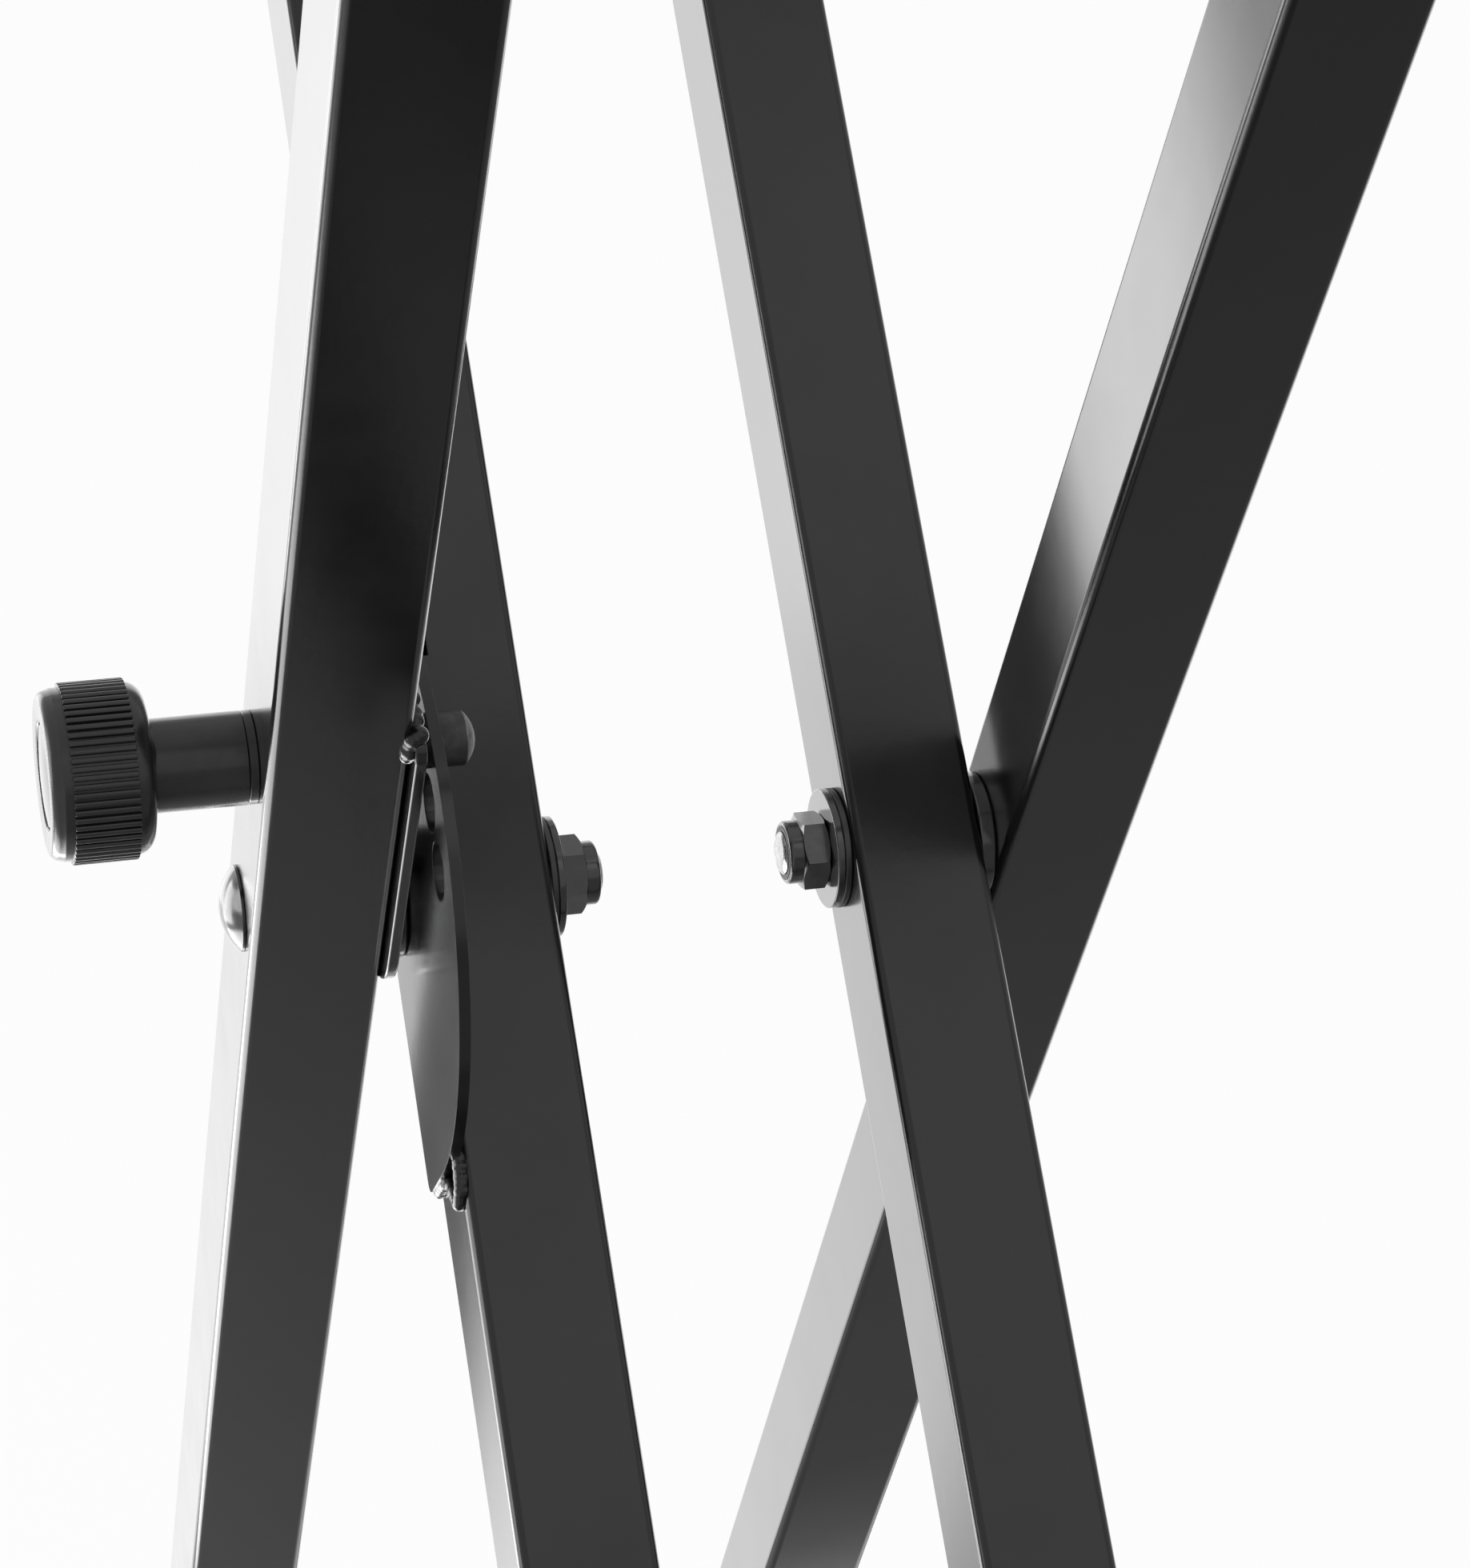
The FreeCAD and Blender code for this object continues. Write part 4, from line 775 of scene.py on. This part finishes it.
# one grip rib, then a copy at every pitch round the knob
RIBS = 64
bpy.ops.object.select_all(action="DESELECT")
bpy.ops.mesh.primitive_cube_add(
    size=1, location=(0, (RIBS_FRONT + RIBS_BACK) / 2, KNOB + 0.05 * MM),
    scale=(1.3 * MM, RIBS_BACK - RIBS_FRONT, 1.7 * MM))
rib = begin("grip_rib")
pick("EDGE", lambda middle, direction: abs(direction.y) > 0.9 and middle.z > KNOB)
bpy.ops.mesh.bevel(offset=0.5 * MM, segments=4)
pick("EDGE", lambda middle, direction: abs(direction.y) < 0.1 and middle.z > KNOB + 0.1 * MM)
bpy.ops.mesh.bevel(offset=0.3 * MM, segments=2)
close_up(rib, 40)
ribs = [rib]
for number in range(1, RIBS):
    ribs.append(copy_of(rib))
    move(ribs[-1], Matrix.Rotation(2 * math.pi * number / RIBS, 4, "Y"))
ribs = join("knob_grip_ribs", ribs)
seat_on_pin(ribs)
fit(ribs, "plunger", "black_moulding", moulding)

CAP = 11.05 * MM
cap = draw_out("knob_cap_disc", [
    *dome(KNOB_FACE + 0.35 * MM, CAP - 0.35 * MM, 0.55 * MM, 8),
    (KNOB_FACE + 0.55 * MM, CAP - 0.1 * MM), (KNOB_FACE + 0.9 * MM, CAP),
    (CAP_SEAT_DEPTH, CAP),
], angle=25)
seat_on_pin(cap)
fit(cap, "plunger", "black_moulding", cap_gloss, "plunger_knob_cap")


# ------------------------------------------------------------------ nodes that stay as they are

for node, finish in (
    ("outer_leg_inserts", bright_steel), ("inner_leg_inserts", bright_steel),
    ("outer_arm_bolts", black_zinc), ("outer_foot_bolts", black_zinc),
    ("inner_arm_bolts", black_zinc), ("inner_foot_bolts", black_zinc),
    ("plunger_spring", bright_steel), ("plunger_collar", bright_steel),
    ("plunger_knob_nut", bright_steel), ("lock_nut_rings", nylon),
    ("front_pivot_bush", bright_steel), ("rear_pivot_bush", bright_steel),
):
    data = nodes[node].data
    data.materials.clear()
    data.materials.append(finish)


# ------------------------------------------------------------------ camera, floor and light

# the camera, solved from the photograph's leg edges, plates and pivots
PHOTO_HEIGHT = 1960
FOCAL_LENGTH = 5514.284  # in the photograph's pixels
SENSOR = 36  # in millimetres, as the lens is
CAMERA_SPOT = PIVOT + Vector((0.91276, -0.222764, 0.337861))
FORWARD = Vector((-0.91677871, 0.23680491, -0.32162126))
RIGHT = Vector((0.25453976, 0.96696667, -0.01360041))
UP = Vector((-0.30777639, 0.09433396, 0.94677072))

lens = bpy.data.cameras.new("view")
lens.sensor_fit = "VERTICAL"
lens.sensor_width = SENSOR
lens.sensor_height = SENSOR
lens.lens = FOCAL_LENGTH / PHOTO_HEIGHT * SENSOR
lens.clip_start = 0.05
camera = bpy.data.objects.new("view", lens)
bpy.context.scene.collection.objects.link(camera)
turn = Matrix((RIGHT, UP, -FORWARD)).transposed().to_4x4()
camera.matrix_world = Matrix.Translation(CAMERA_SPOT) @ turn
bpy.context.scene.camera = camera

WHITE = (1, 1, 1, 1)


def combine(made, operation, first, second):
    """A maths node on two inputs, each of them a socket or a number."""
    node = add(made, "ShaderNodeMath", operation=operation)
    for socket, value in zip(node.inputs, (first, second)):
        if isinstance(value, float):
            socket.default_value = value
        else:
            link(made, value, socket)
    return node.outputs["Value"]


# The floor is white to the camera. To the stand's gloss it is grey paper under the stand, and
# towards -x and -y it is a painted pool of light: white emission that glossy rays alone see,
# standing in for lit ground to the left and front.
bpy.ops.object.select_all(action="DESELECT")
bpy.ops.mesh.primitive_plane_add(size=40, location=(0, 0, -0.001))
floor = bpy.context.object
floor.name = "floor"
paper = material("pale_paper", (0.4, 0.4, 0.4), roughness=0.9, specular=0.2)
rays = add(paper, "ShaderNodeLightPath")
place = add(paper, "ShaderNodeTexCoord")
parts = add(paper, "ShaderNodeSeparateXYZ")
link(paper, place.outputs["Object"], parts.inputs["Vector"])
# where the painted pool of light begins and where it is full, along x and along y
PAINTED_LIGHT_POOLS = (("X", -0.2, -0.32, "SMOOTHSTEP"), ("Y", -0.25, -0.35, "LINEAR"))
painted_light_pools = []
for axis, begins, full, rise in PAINTED_LIGHT_POOLS:
    painted_light_pool = add(paper, "ShaderNodeMapRange", {
        "From Min": begins, "From Max": full, "To Min": 0.0, "To Max": 1.0})
    painted_light_pool.interpolation_type = rise
    link(paper, parts.outputs[axis], painted_light_pool.inputs["Value"])
    painted_light_pools.append(painted_light_pool.outputs["Result"])
painted_light_mask = combine(paper, "MAXIMUM", *painted_light_pools)
# painted light: glossy rays see the painted pool as white emission at 0.82
painted_light_glow = combine(
    paper, "MULTIPLY", combine(paper, "MULTIPLY", rays.outputs["Is Glossy Ray"], 0.82), painted_light_mask)
seen = combine(paper, "MULTIPLY", rays.outputs["Is Camera Ray"], 0.96)
share = combine(paper, "MAXIMUM", seen, painted_light_glow)
white = add(paper, "ShaderNodeEmission", {"Color": WHITE, "Strength": 1.0})
mix = add(paper, "ShaderNodeMixShader")
link(paper, share, mix.inputs["Fac"])
link(paper, paper.node_tree.nodes["Principled BSDF"].outputs["BSDF"], mix.inputs[1])
link(paper, white.outputs["Emission"], mix.inputs[2])
link(paper, mix.outputs["Shader"], paper.node_tree.nodes["Material Output"].inputs["Surface"])
floor.data.materials.append(paper)

# The surroundings light the stand evenly, and the camera sees them as white as the floor.
world = bpy.data.worlds.new("studio")
world.use_nodes = True
bpy.context.scene.world = world
dim = world.node_tree.nodes["Background"]
dim.inputs["Color"].default_value = WHITE
dim.inputs["Strength"].default_value = 0.8
plain = add(world, "ShaderNodeBackground", {"Color": WHITE})
rays = add(world, "ShaderNodeLightPath")
brighter = add(world, "ShaderNodeMath", {1: 0.16, 2: 0.8}, operation="MULTIPLY_ADD")
link(world, rays.outputs["Is Camera Ray"], brighter.inputs[0])
link(world, brighter.outputs["Value"], plain.inputs["Strength"])
direct = combine(
    world, "MAXIMUM", rays.outputs["Is Camera Ray"], rays.outputs["Is Glossy Ray"])
both = add(world, "ShaderNodeMixShader")
link(world, direct, both.inputs["Fac"])
link(world, dim.outputs["Background"], both.inputs[1])
link(world, plain.outputs["Background"], both.inputs[2])
link(world, both.outputs["Shader"], world.node_tree.nodes["World Output"].inputs["Surface"])


def softbox(name, spot, aim, size, radiance):
    """A soft lamp of that width and height, whose face has that radiance."""
    lamp = bpy.data.lights.new(name, "AREA")
    lamp.shape = "RECTANGLE"
    lamp.size, lamp.size_y = size
    lamp.energy = radiance * math.pi * size[0] * size[1]
    held = bpy.data.objects.new(name, lamp)
    bpy.context.scene.collection.objects.link(held)
    held.location = spot
    held.rotation_euler = (Vector(aim) - Vector(spot)).to_track_quat("-Z", "Y").to_euler()
    held.visible_camera = False


softbox("left_softbox", (-1.044, -0.45, 0.586), (-0.478, -0.45, 1.41), (2.2, 2.0), 0.25)
softbox("far_left_softbox", (-1.35, -1.0, 0.55), (0.1, -0.45, 0.55), (1.2, 1.1), 0.8)
softbox("strip_softbox", (-0.52, -0.84, 0.32), (0, -0.05, 0.40), (0.42, 0.62), 6.0)
softbox("edge_softbox", (-0.15, -1.5, 0.72), (0, 0, 0.42), (0.7, 1.0), 4.5)
softbox("low_softbox", (-0.10, -0.30, 0.08), (0, -0.06, 0.37), (0.35, 0.35), 6.0)
softbox("top_softbox", (1.45, 0.6, 2.1), (0, 0, 0.4), (1.3, 1.3), 0.4)

bpy.context.scene.view_settings.view_transform = "Standard"
